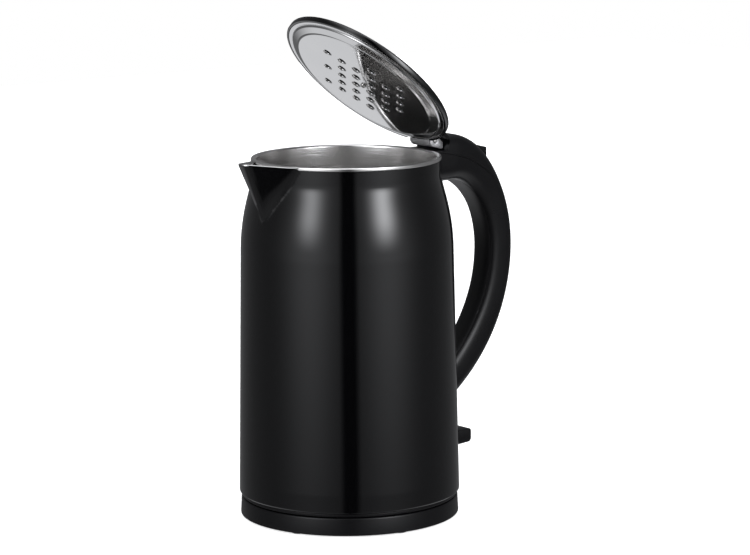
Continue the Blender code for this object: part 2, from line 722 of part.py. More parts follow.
def heater():
    turned("heating_plate", [(0, PLATE_TOP), (PLATE_RADIUS, PLATE_TOP), (PLATE_RADIUS, PLATE_UNDER),
                             (0, PLATE_UNDER)], ALUMINIUM)
    half = ELEMENT_SWEEP / 2
    count = 28
    loop = [on_circle(ELEMENT_RADIUS, 180 - half + ELEMENT_SWEEP * i / count, ELEMENT_Z)
            for i in range(count + 1)]
    wire("heating_element", loop, ELEMENT_TUBE, STEEL)
    for i, end in enumerate((loop[0], loop[-1])):
        drop = end + Vector((0, 0, -ELEMENT_TUBE - GAP))
        rod(f"element_terminal_{i + 1}", drop, drop - Vector((0, 0, 0.005)), 0.0012, BRASS)


def controls():
    turned("control_housing", [(0, CONTROL_TOP), (CONTROL_RADIUS, CONTROL_TOP),
                               (CONTROL_RADIUS, CONTROL_BOTTOM), (0, CONTROL_BOTTOM)], WHITE_PLASTIC, 24)
    low = CONTROL_TOP + GAP
    turned("bimetal_disc", [(0, low + BIMETAL_THICK), (BIMETAL_RADIUS, low + BIMETAL_THICK),
                            (BIMETAL_RADIUS, low), (0, low)], BRASS, 20)


def switch_lever():
    """The tab at the back that turns the kettle on."""
    pivot_x, pivot_z = LEVER_PIVOT
    tip = arc((LEVER_TIP - 0.0035, (LEVER_TOP + LEVER_UNDER) / 2 - 0.0010), 0.0035, -80, 40, 5)
    outline = [(pivot_x - 0.0035, pivot_z - 0.0032), (pivot_x + 0.006, pivot_z - 0.0042),
               (LEVER_TIP - 0.0130, LEVER_UNDER), *tip, (LEVER_TIP - 0.0080, LEVER_TOP - 0.0004),
               (LEVER_TIP - 0.0110, LEVER_TOP), (pivot_x + 0.016, pivot_z + 0.0046),
               (pivot_x - 0.0035, pivot_z + 0.0032)]
    place = (pivot_x, 0, pivot_z)
    lever = slab("switch_lever", outline, LEVER_HALF_WIDTH, SATIN_BLACK, place=place, parent=LEVER_AXIS)
    cut(lever, rod("lever_bore", (pivot_x, -0.02, pivot_z), (pivot_x, 0.02, pivot_z),
                   LEVER_PIN + RUNNING))
    reach = LEVER_HALF_WIDTH + 0.0025
    rod("switch_pivot_pin", (pivot_x, -reach, pivot_z), (pivot_x, reach, pivot_z), LEVER_PIN, STEEL)
    soften = lever.modifiers.new("Bevel", "BEVEL")
    soften.width = 0.0008
    soften.segments = 2
    soften.limit_method = "ANGLE"
    return lever


# ---------------------------------------------------------------- handle


def handle_curves():
    """The handle's outer and inner outlines, from the hinge end to the foot."""
    n = HANDLE_STATIONS
    top_bend = (0.0880, HANDLE_TOP - 0.0005)
    under_bend = (0.0840, HANDLE_ROOT_UNDER)
    outer = (bezier((0.0560, HANDLE_TOP), (0.0665, HANDLE_TOP), (0.0775, HANDLE_TOP), top_bend, 4)
             + bezier(top_bend, (0.1120, HANDLE_TOP - 0.0035), (HANDLE_REACH, 0.2200),
                      (HANDLE_REACH, GRIP_HEIGHT), n)[1:]
             + bezier((HANDLE_REACH, GRIP_HEIGHT), (HANDLE_REACH, 0.1390), (0.1260, 0.0950),
                      (0.0780, HANDLE_FOOT_OUTER - 0.0020), n)[1:])
    inner = (bezier((0.0560, HANDLE_ROOT_UNDER), (0.0655, HANDLE_ROOT_UNDER),
                    (0.0750, HANDLE_ROOT_UNDER), under_bend, 4)
             + bezier(under_bend, (0.1000, 0.2230), (GRIP_INNER - 0.0008, 0.2040),
                      (GRIP_INNER, GRIP_HEIGHT), n)[1:]
             + bezier((GRIP_INNER, GRIP_HEIGHT), (GRIP_INNER, 0.1460), (0.1080, 0.1170),
                      (0.0660, HANDLE_FOOT_INNER - 0.0020), n)[1:])
    return outer, inner


def handle_half_width(share):
    """Wide at the hinge, slim at the foot; share runs from 0 to 1 along the handle."""
    if share < 0.18:
        return ROOT_HALF_WIDTH
    if share < 0.5:
        ease = (share - 0.18) / 0.32
        ease = ease * ease * (3 - 2 * ease)
        return ROOT_HALF_WIDTH + (GRIP_HALF_WIDTH - ROOT_HALF_WIDTH) * ease
    return GRIP_HALF_WIDTH + (FOOT_HALF_WIDTH - GRIP_HALF_WIDTH) * (share - 0.5) / 0.5


def handle_rings(inset=0.0):
    """Rounded-square sections square to the handle, shrunk by inset."""
    outer, inner = handle_curves()
    rings = []
    for i, (out, inn) in enumerate(zip(outer, inner)):
        share = i / (len(outer) - 1)
        back = Vector((out[0], 0, out[1]))
        front = Vector((inn[0], 0, inn[1]))
        middle = (back + front) / 2
        deep = (back - front) / 2
        deep = deep.normalized() * (deep.length - inset)
        wide = Vector((0, handle_half_width(share) - inset, 0))
        power = 2 / (4.5 - 1.4 * min(1.0, share * 2.2))
        ring = []
        for k in range(HANDLE_SIDES):
            turn = 2 * pi * (k + 0.5) / HANDLE_SIDES
            c, s = cos(turn), sin(turn)
            along = abs(c) ** power * (1 if c > 0 else -1)
            across = abs(s) ** power * (1 if s > 0 else -1)
            ring.append(middle + deep * along + wide * across)
        rings.append(ring)
    return rings


def handle_hollow(name, inset):
    """The handle's hollow, which leaves a wall at the hinge end and a solid foot."""
    return loft(name, handle_rings(inset)[3:-2])


def insert_rings(half_width, sink):
    """A bar along the handle's inner face: half_width wide, from the face outwards to sink deep."""
    outer, inner = handle_curves()
    rings = []
    first = 4
    last = len(outer) - 2
    for out, inn in list(zip(outer, inner))[first:last + 1]:
        back = Vector((out[0], 0, out[1]))
        front = Vector((inn[0], 0, inn[1]))
        way = (back - front).normalized()
        side = Vector((0, half_width, 0))
        outside = front - way * 0.004
        inside = front + way * sink
        rings.append([outside - side, outside + side, inside + side, inside - side])
    return rings


def body_clearance(name, gap):
    """The body's outer form grown by gap, to trim what meets it."""
    rim = RIM_RADIUS + gap
    below = [(radius, z) for radius, z in body_outline(-gap) if z < COLLAR_TOP]
    profile = [(0, RIM_TOP + 0.001), (rim, RIM_TOP + 0.001), (rim, COLLAR_TOP - 0.001), *below,
               (BODY_LOW_RADIUS + gap, 0.0), (0, 0.0)]
    return turned(name, profile)


def hinge_well(name, shift):
    """The space in front of the handle's top where the lid's hinge turns."""
    floor = RIM_TOP - 0.0012 - shift
    outline = [(0.040, floor), (0.0752 + shift, floor), (0.0798 + shift, 0.2575), (0.0798 + shift, 0.280),
               (0.040, 0.280)]
    return slab(name, outline, 0.040)


def seam_region(name, shift):
    """All that lies above the seam between handle shell and top cover, moved down by shift."""
    seam = bezier((0.0500, SEAM_START), (0.0930, SEAM_START), (0.1120, 0.2310), SEAM_END, 8)
    outline = [(x, z - shift) for x, z in seam] + [(0.150, SEAM_END[1] - shift), (0.170, 0.290),
                                                   (0.050, 0.290)]
    return slab(name, outline, 0.040)


def handle_shell():
    shell = loft("handle_shell", handle_rings(), SATIN_BLACK)
    return cut(shell, body_clearance("body_clear_shell", GAP), seam_region("seam_cut", GAP / 2),
               hinge_well("hinge_well_shell", 0.0), handle_hollow("handle_hollow", HANDLE_WALL),
               loft("insert_cut", insert_rings(INSERT_SLOT + GAP, HANDLE_WALL + 0.001)),
               rod("steam_way", (RIM_RADIUS - 0.004, 0, STEAM_PORT), (0.0850, 0, STEAM_PORT),
                   STEAM_TUBE + GAP),
               *[rod(f"{name}_way", (low, 0, z), (high, 0, z), HANDLE_SCREW_SHANK + GAP)
                 for name, z, low, high in HANDLE_SCREW_WAYS])


def handle_top_cover():
    cover = loft("handle_top_cover", handle_rings(), SATIN_BLACK)
    cut(cover, body_clearance("body_clear_cover", GAP), hinge_well("hinge_well_cover", 0.0))
    keep(cover, seam_region("seam_keep", -GAP / 2))
    cut(cover, handle_hollow("cover_hollow", HANDLE_WALL))
    room = RUNNING
    front_x, front_z = BUTTON_FRONT
    rear_x, rear_z = BUTTON_REAR
    window = [(front_x - room, front_z + 0.010), (front_x - room, front_z - BUTTON_DEPTH),
              (rear_x + 2 * room, rear_z - BUTTON_DEPTH - 0.006), (rear_x + 2 * room, rear_z + 0.010)]
    return cut(cover, slab("button_window", window, BUTTON_HALF_WIDTH + room))


def handle_grip():
    grip = loft("handle_grip_insert", handle_rings(), SOFT_BLACK)
    cut(grip, body_clearance("body_clear_grip", GAP))
    keep(grip, loft("insert_keep", insert_rings(INSERT_SLOT, HANDLE_WALL + 0.001 - GAP)))
    return cut(grip, handle_hollow("grip_hollow", HANDLE_WALL - GAP))


def handle_screws():
    """The upper screw sits in the handle's root; the lower one comes from inside the body."""
    for name, z, head, end in (("upper", UPPER_SCREW_Z, 0.0806, RIM_RADIUS + 0.0012),
                               ("lower", LOWER_SCREW_Z, LOWER_SCREW_HEAD, 0.0790)):
        way = 1 if end > head else -1
        stem = rod(f"handle_screw_{name}", (head - way * SCREW_HEAD / 2, 0, z), (end, 0, z),
                   HANDLE_SCREW_SHANK, STEEL)
        join(stem, rod(f"{name}_screw_head", (head - way * SCREW_HEAD, 0, z), (head, 0, z),
                       HANDLE_SCREW_RADIUS))


def steam_tube():
    """Carries steam from the pot's mouth down the handle to the bimetal switch."""
    start_x = POT_RADIUS + POT_WALL
    outer, inner = handle_curves()
    middle = [((o[0] + i[0]) / 2, (o[1] + i[1]) / 2) for o, i in zip(outer, inner)]
    route = [(start_x + 0.001, 0, STEAM_PORT), (COLLAR_RADIUS + 0.0210, 0, STEAM_PORT)]
    route += [(x, 0, z) for x, z in middle[6:-3]]
    return wire("steam_tube", route, STEAM_TUBE, WHITE_PLASTIC)


# ---------------------------------------------------------------- release button and latch


def release_button():
    front_x, front_z = BUTTON_FRONT
    rear_x, rear_z = BUTTON_REAR
    pivot_x, pivot_z = BUTTON_PIVOT
    outline = [(front_x, front_z - 0.0004), (rear_x, rear_z), (rear_x, rear_z - BUTTON_DEPTH),
               (rear_x - 0.003, rear_z - BUTTON_DEPTH), (front_x + 0.004, front_z - 0.0072),
               (front_x, front_z - 0.0072)]
    button = slab("release_button", outline, BUTTON_HALF_WIDTH, SATIN_BLACK,
                  place=(pivot_x, 0, pivot_z), parent=BUTTON_AXIS)
    cut(button, rod("button_bore", (pivot_x, -0.02, pivot_z), (pivot_x, 0.02, pivot_z),
                    BUTTON_PIN + RUNNING))
    reach = BUTTON_HALF_WIDTH + RUNNING - 0.0001
    rod("button_pivot_pin", (pivot_x, -reach, pivot_z), (pivot_x, reach, pivot_z), BUTTON_PIN, STEEL)
    return button


def latch():
    """The sliding catch between button and lid hinge, with the spring that brings it back."""
    low, high = SLIDER_Z
    foot = low - SLIDER_FOOT
    outline = [(SLIDER_FRONT, high), (SLIDER_REAR, high), (SLIDER_REAR, foot),
               (SLIDER_REAR - 0.008, foot), (SLIDER_REAR - 0.008, low), (SLIDER_FRONT + 0.003, low)]
    slab("latch_slider", outline, SLIDER_HALF_WIDTH, SATIN_BLACK)
    turns = 5
    per_turn = 8
    start = SLIDER_FRONT + 0.0004
    length = SLIDER_REAR - 0.008 - GAP - start - LATCH_WIRE
    middle = low - GAP - LATCH_WIRE - LATCH_SPRING_RADIUS
    coil = []
    for i in range(turns * per_turn + 1):
        angle = 2 * pi * i / per_turn
        coil.append((start + length * i / (turns * per_turn), LATCH_SPRING_RADIUS * cos(angle),
                     middle + LATCH_SPRING_RADIUS * sin(angle)))
    wire("latch_spring", coil, LATCH_WIRE, STEEL, resolution=1)


# ---------------------------------------------------------------- hinge and lid


def cheek_outline(radius):
    """A hinge cheek: a round eye about the pin with a foot back to the housing."""
    eye = arc((PIN_X, PIN_Z), radius, 70, 270, 8)
    return [*eye, (PIN_X + 0.0052, PIN_Z - 0.0056), (PIN_X + 0.0068, PIN_Z - 0.0056),
            (PIN_X + 0.0068, PIN_Z - 0.0016)]


def hinge_bracket():
    reach = BARREL_HALF_WIDTH + RUNNING + CHEEK_THICK
    bracket = slab("hinge_bracket", cheek_outline(CHEEK_RADIUS), reach, GREY_STEEL)
    inner = BARREL_HALF_WIDTH + RUNNING
    cut(bracket, block("cheek_gap", (PIN_X - 0.010, -inner, PIN_Z - 0.010),
                       (PIN_X + 0.0054, inner, PIN_Z + 0.010)),
        rod("cheek_bore", (PIN_X, -0.03, PIN_Z), (PIN_X, 0.03, PIN_Z), HINGE_PIN + GAP))
    return bracket


def hinge_pin():
    reach = BARREL_HALF_WIDTH + RUNNING + CHEEK_THICK + 0.0009
    rod("hinge_pin", (PIN_X, -reach, PIN_Z), (PIN_X, reach, PIN_Z), HINGE_PIN, STEEL)


def hinge_spring():
    """The torsion spring that throws the lid open, wound on the pin inside the barrel."""
    turns = 5
    per_turn = 9
    length = 0.0110
    radius = (HINGE_PIN + BARREL_BORE) / 2 + 0.0001
    coil = []
    for i in range(turns * per_turn + 1):
        angle = 2 * pi * i / per_turn
        coil.append((PIN_X + radius * cos(angle), length * (i / (turns * per_turn) - 0.5),
                     PIN_Z + radius * sin(angle)))
    wire("hinge_spring", coil, 0.00045, STEEL, resolution=1)


def lid_piece(name, maker, *arguments, **options):
    """A piece built about the closed lid and hung on the lid's hinge."""
    return maker(name, *arguments, place=tuple(HINGE), parent=LID_AXIS, **options)


def lid_cover():
    crown = LID_TOP + LID_CROWN
    dome = bezier((0.0, crown), (0.030, crown), (0.056, LID_TOP + 0.0030), (LID_RADIUS - 0.0012, LID_TOP), 7)
    outside = [*dome, (LID_RADIUS, LID_TOP - 0.0012), (LID_RADIUS, LID_BOTTOM)]
    cover = lid_piece("lid_cover", turned, [*outside, (0, LID_BOTTOM)], finish=GLOSS_BLACK,
                      centre=(LID_X, 0))
    inner = LID_RADIUS - LID_WALL
    hollow = [(0, crown - LID_WALL), (0.030, crown - LID_WALL - 0.0008),
              (0.050, LID_TOP + 0.0040 - LID_WALL), (inner, LID_TOP - LID_WALL), (inner, LID_BOTTOM - 0.002),
              (0, LID_BOTTOM - 0.002)]
    x, z = PIN_X, PIN_Z
    lug = [(x - 0.0200, z + 0.0010), (x - 0.0120, z + 0.0062), (x - 0.0050, z + 0.0080),
           (x + 0.0042, z + 0.0078), (x + 0.0046, z + 0.0052), (x - 0.0050, z + 0.0050),
           (x - 0.0064, z - 0.0004), (x - 0.0200, z - 0.0010)]
    join(cover, lid_piece("cover_lug", slab, lug, LUG_HALF_WIDTH))
    cut(cover, lid_piece("cover_hollow_lid", turned, hollow, centre=(LID_X, 0)))
    clear = BARREL_HALF_WIDTH + RUNNING + CHEEK_THICK + 0.0014
    below = LID_BOTTOM - 0.002
    room = [(x - 0.0120, below), (x + 0.0052, below), *arc((x, z), BARREL_RADIUS + 0.0007, -30, 170, 12),
            (x - 0.0052, ARM_TOP + GAP), (x - 0.0120, ARM_TOP + GAP)]
    return cut(cover, lid_piece("arm_room", slab, room, clear))


def lid_carrier():
    """The moulded plate inside the lid that the pan and the arm screw to."""
    top = CARRIER_UNDER + CARRIER_THICK
    boss_end = LID_BOTTOM - PAN_DEPTH + PAN_WALL + GAP
    bore = LID_SCREW_RADIUS * 0.5 + GAP
    profile = [(bore, top), (CARRIER_RADIUS, top), (CARRIER_RADIUS, CARRIER_UNDER),
               (CARRIER_BOSS, CARRIER_UNDER), (CARRIER_BOSS, boss_end), (bore, boss_end)]
    return lid_piece("lid_carrier", turned, profile, finish=SATIN_BLACK, centre=(LID_X, 0))


def lid_pan():
    """The steel underside of the lid with its punched holes."""
    floor = LID_BOTTOM - PAN_DEPTH
    wall = PAN_WALL
    outside = [(PAN_RADIUS, LID_BOTTOM), (PAN_FLOOR_RADIUS + 0.0008, floor + 0.0008),
               (PAN_FLOOR_RADIUS - 0.0004, floor), (0, floor)]
    inside = [(0, floor + wall), (PAN_FLOOR_RADIUS - 0.0006, floor + wall),
              (PAN_FLOOR_RADIUS + 0.0001, floor + wall + 0.0006), (PAN_RADIUS - 0.0006, FLANGE_TOP)]
    profile = [(0, FLANGE_TOP), (FLANGE_RADIUS, FLANGE_TOP), (FLANGE_RADIUS, LID_BOTTOM), *outside]
    pan = lid_piece("lid_pan", turned, profile, finish=STEEL, centre=(LID_X, 0))
    hollow = [(0, FLANGE_TOP + 0.004), (PAN_RADIUS - 0.0006, FLANGE_TOP + 0.004), *reversed(inside)]
    cut(pan, lid_piece("pan_hollow", turned, hollow, centre=(LID_X, 0)))
    middle = floor + wall / 2
    holes = [Vector((LID_X + column * HOLE_PITCH[0], row * HOLE_PITCH[1], middle))
             for column, rows in HOLE_CELLS for row in rows]
    screw = lid_piece("pan_screw_hole", rod, (LID_X, 0, floor - 0.002), (LID_X, 0, floor + 0.002),
                      LID_SCREW_RADIUS * 0.5 + GAP)
    return cut(pan, lid_piece("pan_punch", punch, holes, (0, 0, 0.002), PAN_HOLE, 9), screw)


def lid_gasket():
    """The silicone ring between pan and carrier, broken where the hinge arm passes."""
    low = FLANGE_TOP + GAP
    profile = ring_profile(PAN_RADIUS + 0.0010, FLANGE_RADIUS - GAP, low, low + GASKET_THICK)
    gasket = lid_piece("lid_gasket", turned, profile, finish=RUBBER, centre=(LID_X, 0))
    gap = ARM_HALF_WIDTH + 0.0010
    return cut(gasket, lid_piece("gasket_gap", block, (LID_X + 0.040, -gap, low - 0.001),
                                 (PIN_X, gap, CARRIER_UNDER + 0.001)))


def lid_arm():
    """The hinge arm: a barrel on the pin and a tongue under the lid."""
    y = BARREL_HALF_WIDTH
    profile = [(HINGE_PIN + GAP, y), (BARREL_RADIUS, y), (BARREL_RADIUS, -y), (HINGE_PIN + GAP, -y),
               (HINGE_PIN + GAP, -y + 0.0020), (BARREL_BORE, -y + 0.0020), (BARREL_BORE, y - 0.0020),
               (HINGE_PIN + GAP, y - 0.0020)]
    barrel = turned("lid_hinge_arm", profile, GREY_STEEL, 24, parent=LID_AXIS)
    barrel.data.transform(Matrix.Rotation(radians(90), 4, "X"))
    tongue = lid_piece("arm_tongue", block, (PIN_X - ARM_LENGTH, -ARM_HALF_WIDTH, ARM_UNDER),
                       (PIN_X - BARREL_BORE - 0.0004, ARM_HALF_WIDTH, ARM_TOP))
    join(barrel, tongue)
    for side in (-1, 1):
        at = (PIN_X - ARM_LENGTH + 0.005, side * 0.005)
        hole = lid_piece(f"arm_hole_{side + 2}", rod, (*at, ARM_UNDER - 0.001), (*at, ARM_TOP + 0.001),
                         LID_SCREW_RADIUS * 0.5 + GAP)
        cut(barrel, hole)
    return barrel


def lid_screws():
    """One screw through the pan into the carrier's boss."""
    floor = LID_BOTTOM - PAN_DEPTH
    head = floor - GAP
    shank = LID_SCREW_RADIUS * 0.5
    profile = [(0, CARRIER_UNDER), (shank, CARRIER_UNDER), (shank, head), (LID_SCREW_RADIUS, head),
               (LID_SCREW_RADIUS * 0.8, head - SCREW_HEAD), (0, head - SCREW_HEAD)]
    lid_piece("lid_center_screw", turned, profile, finish=STEEL, sides=SMALL_SIDES, centre=(LID_X, 0))
    for i, side in enumerate((-1, 1)):
        at = (PIN_X - ARM_LENGTH + 0.005, side * 0.005)
        low = ARM_UNDER - GAP
        stem = [(0, ARM_TOP), (shank, ARM_TOP), (shank, low), (LID_SCREW_RADIUS, low),
                (LID_SCREW_RADIUS, low - SCREW_HEAD), (0, low - SCREW_HEAD)]
        lid_piece(f"lid_arm_screw_{i + 1}", turned, stem, finish=STEEL, sides=SMALL_SIDES, centre=at)


# ---------------------------------------------------------------- assembly

base_top_shell()
base_bottom_plate()
cord_gland()
base_feet()
base_screws()
base_connector()
kettle_socket()
outer_shell()
inner_pot()
spout_liner()
pot_support_ring()
bottom_cover()
cover_screws()
heater()
controls()
switch_lever()
handle_shell()
handle_top_cover()
handle_grip()
handle_screws()
steam_tube()
release_button()
latch()
hinge_bracket()
hinge_pin()
hinge_spring()
lid_cover()
lid_carrier()
lid_pan()
lid_gasket()
lid_arm()
lid_screws()
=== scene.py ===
import json
from math import asin, atan2, cos, degrees, pi, radians, sin, sqrt

import bmesh
import bpy
from mathutils import Matrix, Vector


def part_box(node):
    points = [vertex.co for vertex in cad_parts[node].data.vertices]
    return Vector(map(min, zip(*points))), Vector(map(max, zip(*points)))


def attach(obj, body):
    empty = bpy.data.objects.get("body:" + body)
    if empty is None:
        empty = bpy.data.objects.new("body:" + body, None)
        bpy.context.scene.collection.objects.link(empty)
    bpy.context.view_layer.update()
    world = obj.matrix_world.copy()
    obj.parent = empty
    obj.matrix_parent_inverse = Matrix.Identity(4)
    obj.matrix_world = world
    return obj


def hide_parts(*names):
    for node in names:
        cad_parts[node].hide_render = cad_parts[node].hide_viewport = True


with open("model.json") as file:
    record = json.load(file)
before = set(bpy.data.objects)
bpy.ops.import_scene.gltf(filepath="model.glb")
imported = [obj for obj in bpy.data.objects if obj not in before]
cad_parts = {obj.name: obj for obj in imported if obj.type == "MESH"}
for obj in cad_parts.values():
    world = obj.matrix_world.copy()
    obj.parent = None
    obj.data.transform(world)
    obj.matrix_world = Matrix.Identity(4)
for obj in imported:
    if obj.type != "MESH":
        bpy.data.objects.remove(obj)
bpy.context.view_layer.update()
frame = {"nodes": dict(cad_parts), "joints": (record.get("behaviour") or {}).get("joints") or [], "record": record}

# %% [markdown]
# # Electric kettle: the fine surfaces
#
# The frame above is the engineering model: every part of the kettle at its real size and place, with its joints.
# This script dresses it. Each cell makes one piece or one finish, says why it is made that way, and prints what it made.

# %% [markdown]
# ## Where things are
#
# The body of the kettle is turned about an upright axis that is not the middle of the whole object, because the handle
# reaches further than the spout. The axis is read from the round power base. The lid is easiest to build closed and then
# turned open about its hinge pin, so the pin's place and the angle are read from the hinge joint.

# %% Axis, hinge and joints
joints = {joint["name"]: joint for joint in frame["joints"]}


def reach(node, axis):
    low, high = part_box(node)
    return low[axis], high[axis]


axis_x = sum(reach("base_top_shell", 0)) / 2
to_place = Matrix.Translation((axis_x, 0, 0))
hinge_place = Vector(joints["lid_hinge"]["pos_m"])
hinge = hinge_place - Vector((axis_x, 0, 0))
lid_open = radians(-joints["lid_hinge"]["range_deg"][0])
open_lid = to_place @ Matrix.Translation(hinge) @ Matrix.Rotation(lid_open, 4, "Y") @ Matrix.Translation(-hinge)
print("body axis at x", round(axis_x, 4), "hinge", [round(value, 4) for value in hinge_place],
      "lid open", round(degrees(lid_open), 1))

# %% [markdown]
# ## Camera and colour
#
# A long lens from two metres away keeps the body's sides nearly parallel, as in a product picture. The standard view
# transform keeps a white backdrop white.

# %% Camera
LENS = 142.27
CAMERA_PLACE = (-1.23636, -1.58318, 0.50286)
CAMERA_RIGHT = (0.78789, -0.61576, -0.00818)
CAMERA_UP = (0.10984, 0.12744, 0.98575)
CAMERA_BACK = (-0.60594, -0.77756, 0.16804)

camera_data = bpy.data.cameras.new("studio_camera")
camera_data.lens = LENS
camera_data.sensor_width = 36.0
camera = bpy.data.objects.new("studio_camera", camera_data)
camera.matrix_world = Matrix.Translation(CAMERA_PLACE) @ Matrix(
    (CAMERA_RIGHT, CAMERA_UP, CAMERA_BACK)).transposed().to_4x4()
bpy.context.scene.collection.objects.link(camera)
bpy.context.scene.camera = camera
bpy.context.scene.view_settings.view_transform = "Standard"
print("camera with a", LENS, "mm lens")

# %% [markdown]
# ## Studio light
#
# A glossy black body shows little of its own colour: what is seen is the studio mirrored in it. Two tall softboxes stand
# left and right of the camera with a dark gap between them, and the light falls off towards the floor. They are painted
# into the world by direction, with an angle round the kettle and a height, so every surface sees the same smooth boxes.
# The backdrop itself is plain white.

# %% World with two softboxes
CAMERA_BEARING = atan2(CAMERA_PLACE[1], CAMERA_PLACE[0] - axis_x)
GAP_HALF = 8.5            # degrees of dark between the boxes
GAP_SHIFT = 1.5
BOX_BEARING = 43.0        # degrees from the camera to a box's middle
BOX_WIDTH = 27.0
BACKDROP = 1.0

world = bpy.data.worlds.new("studio")
bpy.context.scene.world = world
world.use_nodes = True
sky = world.node_tree
sky.nodes.clear()


def value_node(tree, operation, first, second=None, third=None):
    node = tree.nodes.new("ShaderNodeMath")
    node.operation = operation
    for slot, source in zip(node.inputs, (first, second, third)):
        if source is None:
            continue
        if isinstance(source, (int, float)):
            slot.default_value = source
        else:
            tree.links.new(source, slot)
    return node.outputs[0]


def hump(tree, source, middle, width):
    """A bell of height 1 about the middle."""
    away = value_node(tree, "DIVIDE", value_node(tree, "SUBTRACT", source, middle), width)
    return value_node(tree, "EXPONENT", value_node(tree, "MULTIPLY", value_node(tree, "MULTIPLY", away, away), -1.0))


def ramp(tree, source, low, high, start=0.0, end=1.0):
    node = tree.nodes.new("ShaderNodeMapRange")
    node.interpolation_type = "SMOOTHSTEP"
    tree.links.new(source, node.inputs["Value"])
    for name, value in (("From Min", low), ("From Max", high), ("To Min", start), ("To Max", end)):
        node.inputs[name].default_value = value
    return node.outputs["Result"]


direction = sky.nodes.new("ShaderNodeTexCoord")
turn = sky.nodes.new("ShaderNodeMapping")
turn.vector_type = "POINT"
turn.inputs["Rotation"].default_value = (0, 0, -CAMERA_BEARING)
sky.links.new(direction.outputs["Generated"], turn.inputs["Vector"])
split = sky.nodes.new("ShaderNodeSeparateXYZ")
sky.links.new(turn.outputs[0], split.inputs[0])
bearing = value_node(sky, "MULTIPLY", value_node(sky, "ARCTAN2", split.outputs[1], split.outputs[0]), 180 / pi)
height = value_node(sky, "MULTIPLY", value_node(sky, "ARCSINE", split.outputs[2]), 180 / pi)
side = value_node(sky, "ABSOLUTE", value_node(sky, "SUBTRACT", bearing, GAP_SHIFT))

LOW_GLOW = 0.50
HIGH_GLOW = (4.6, 8.5)   # left box, right box, above the kettle's shoulder
gap = ramp(sky, side, GAP_HALF - 4.0, GAP_HALF + 4.0)
low_box = value_node(sky, "MULTIPLY", hump(sky, side, BOX_BEARING, BOX_WIDTH), ramp(sky, height, -14, -5, 0.35, 1.85))
glow = value_node(sky, "MULTIPLY", low_box, LOW_GLOW)
for sign, strength in zip((-1, 1), HIGH_GLOW):
    box = hump(sky, bearing, sign * BOX_BEARING, 12.0)
    tall = value_node(sky, "MULTIPLY", ramp(sky, height, -4, 17), ramp(sky, height, 24, 50, 1.0, 0.12))
    glow = value_node(sky, "MULTIPLY_ADD", value_node(sky, "MULTIPLY", box, tall), strength, glow)
room = value_node(sky, "MULTIPLY_ADD", gap, 0.15, 0.005)
behind = value_node(sky, "MULTIPLY", ramp(sky, side, 55, 95), ramp(sky, height, -22, -34))
overhead = value_node(sky, "MULTIPLY", ramp(sky, height, 50, 78), 2.0)
glow = value_node(sky, "ADD", value_node(sky, "MULTIPLY", glow, gap), room)
glow = value_node(sky, "ADD", glow, value_node(sky, "MULTIPLY_ADD", behind, 0.72, overhead))

seen = sky.nodes.new("ShaderNodeLightPath")
plain = sky.nodes.new("ShaderNodeBackground")
plain.inputs["Strength"].default_value = BACKDROP
plain.inputs["Color"].default_value = (1, 1, 1, 1)
studio = sky.nodes.new("ShaderNodeBackground")
sky.links.new(glow, studio.inputs["Strength"])
studio.inputs["Color"].default_value = (0.98, 0.99, 1.02, 1)
mix = sky.nodes.new("ShaderNodeMixShader")
sky.links.new(seen.outputs["Is Camera Ray"], mix.inputs[0])
sky.links.new(studio.outputs[0], mix.inputs[1])
sky.links.new(plain.outputs[0], mix.inputs[2])
out = sky.nodes.new("ShaderNodeOutputWorld")
sky.links.new(mix.outputs[0], out.inputs[0])
print("studio world with", len(sky.nodes), "nodes")

# %% [markdown]
# ## Finishes
#
# Every finish here starts from the same idea: a base colour, a roughness that wanders a little, and a fine relief. Noise
# on the object's own coordinates gives all three. Stretching the noise along one direction turns grain into brushing, so
# one helper makes moulded plastic, rubber and brushed steel with different numbers.

# %% A helper for finishes


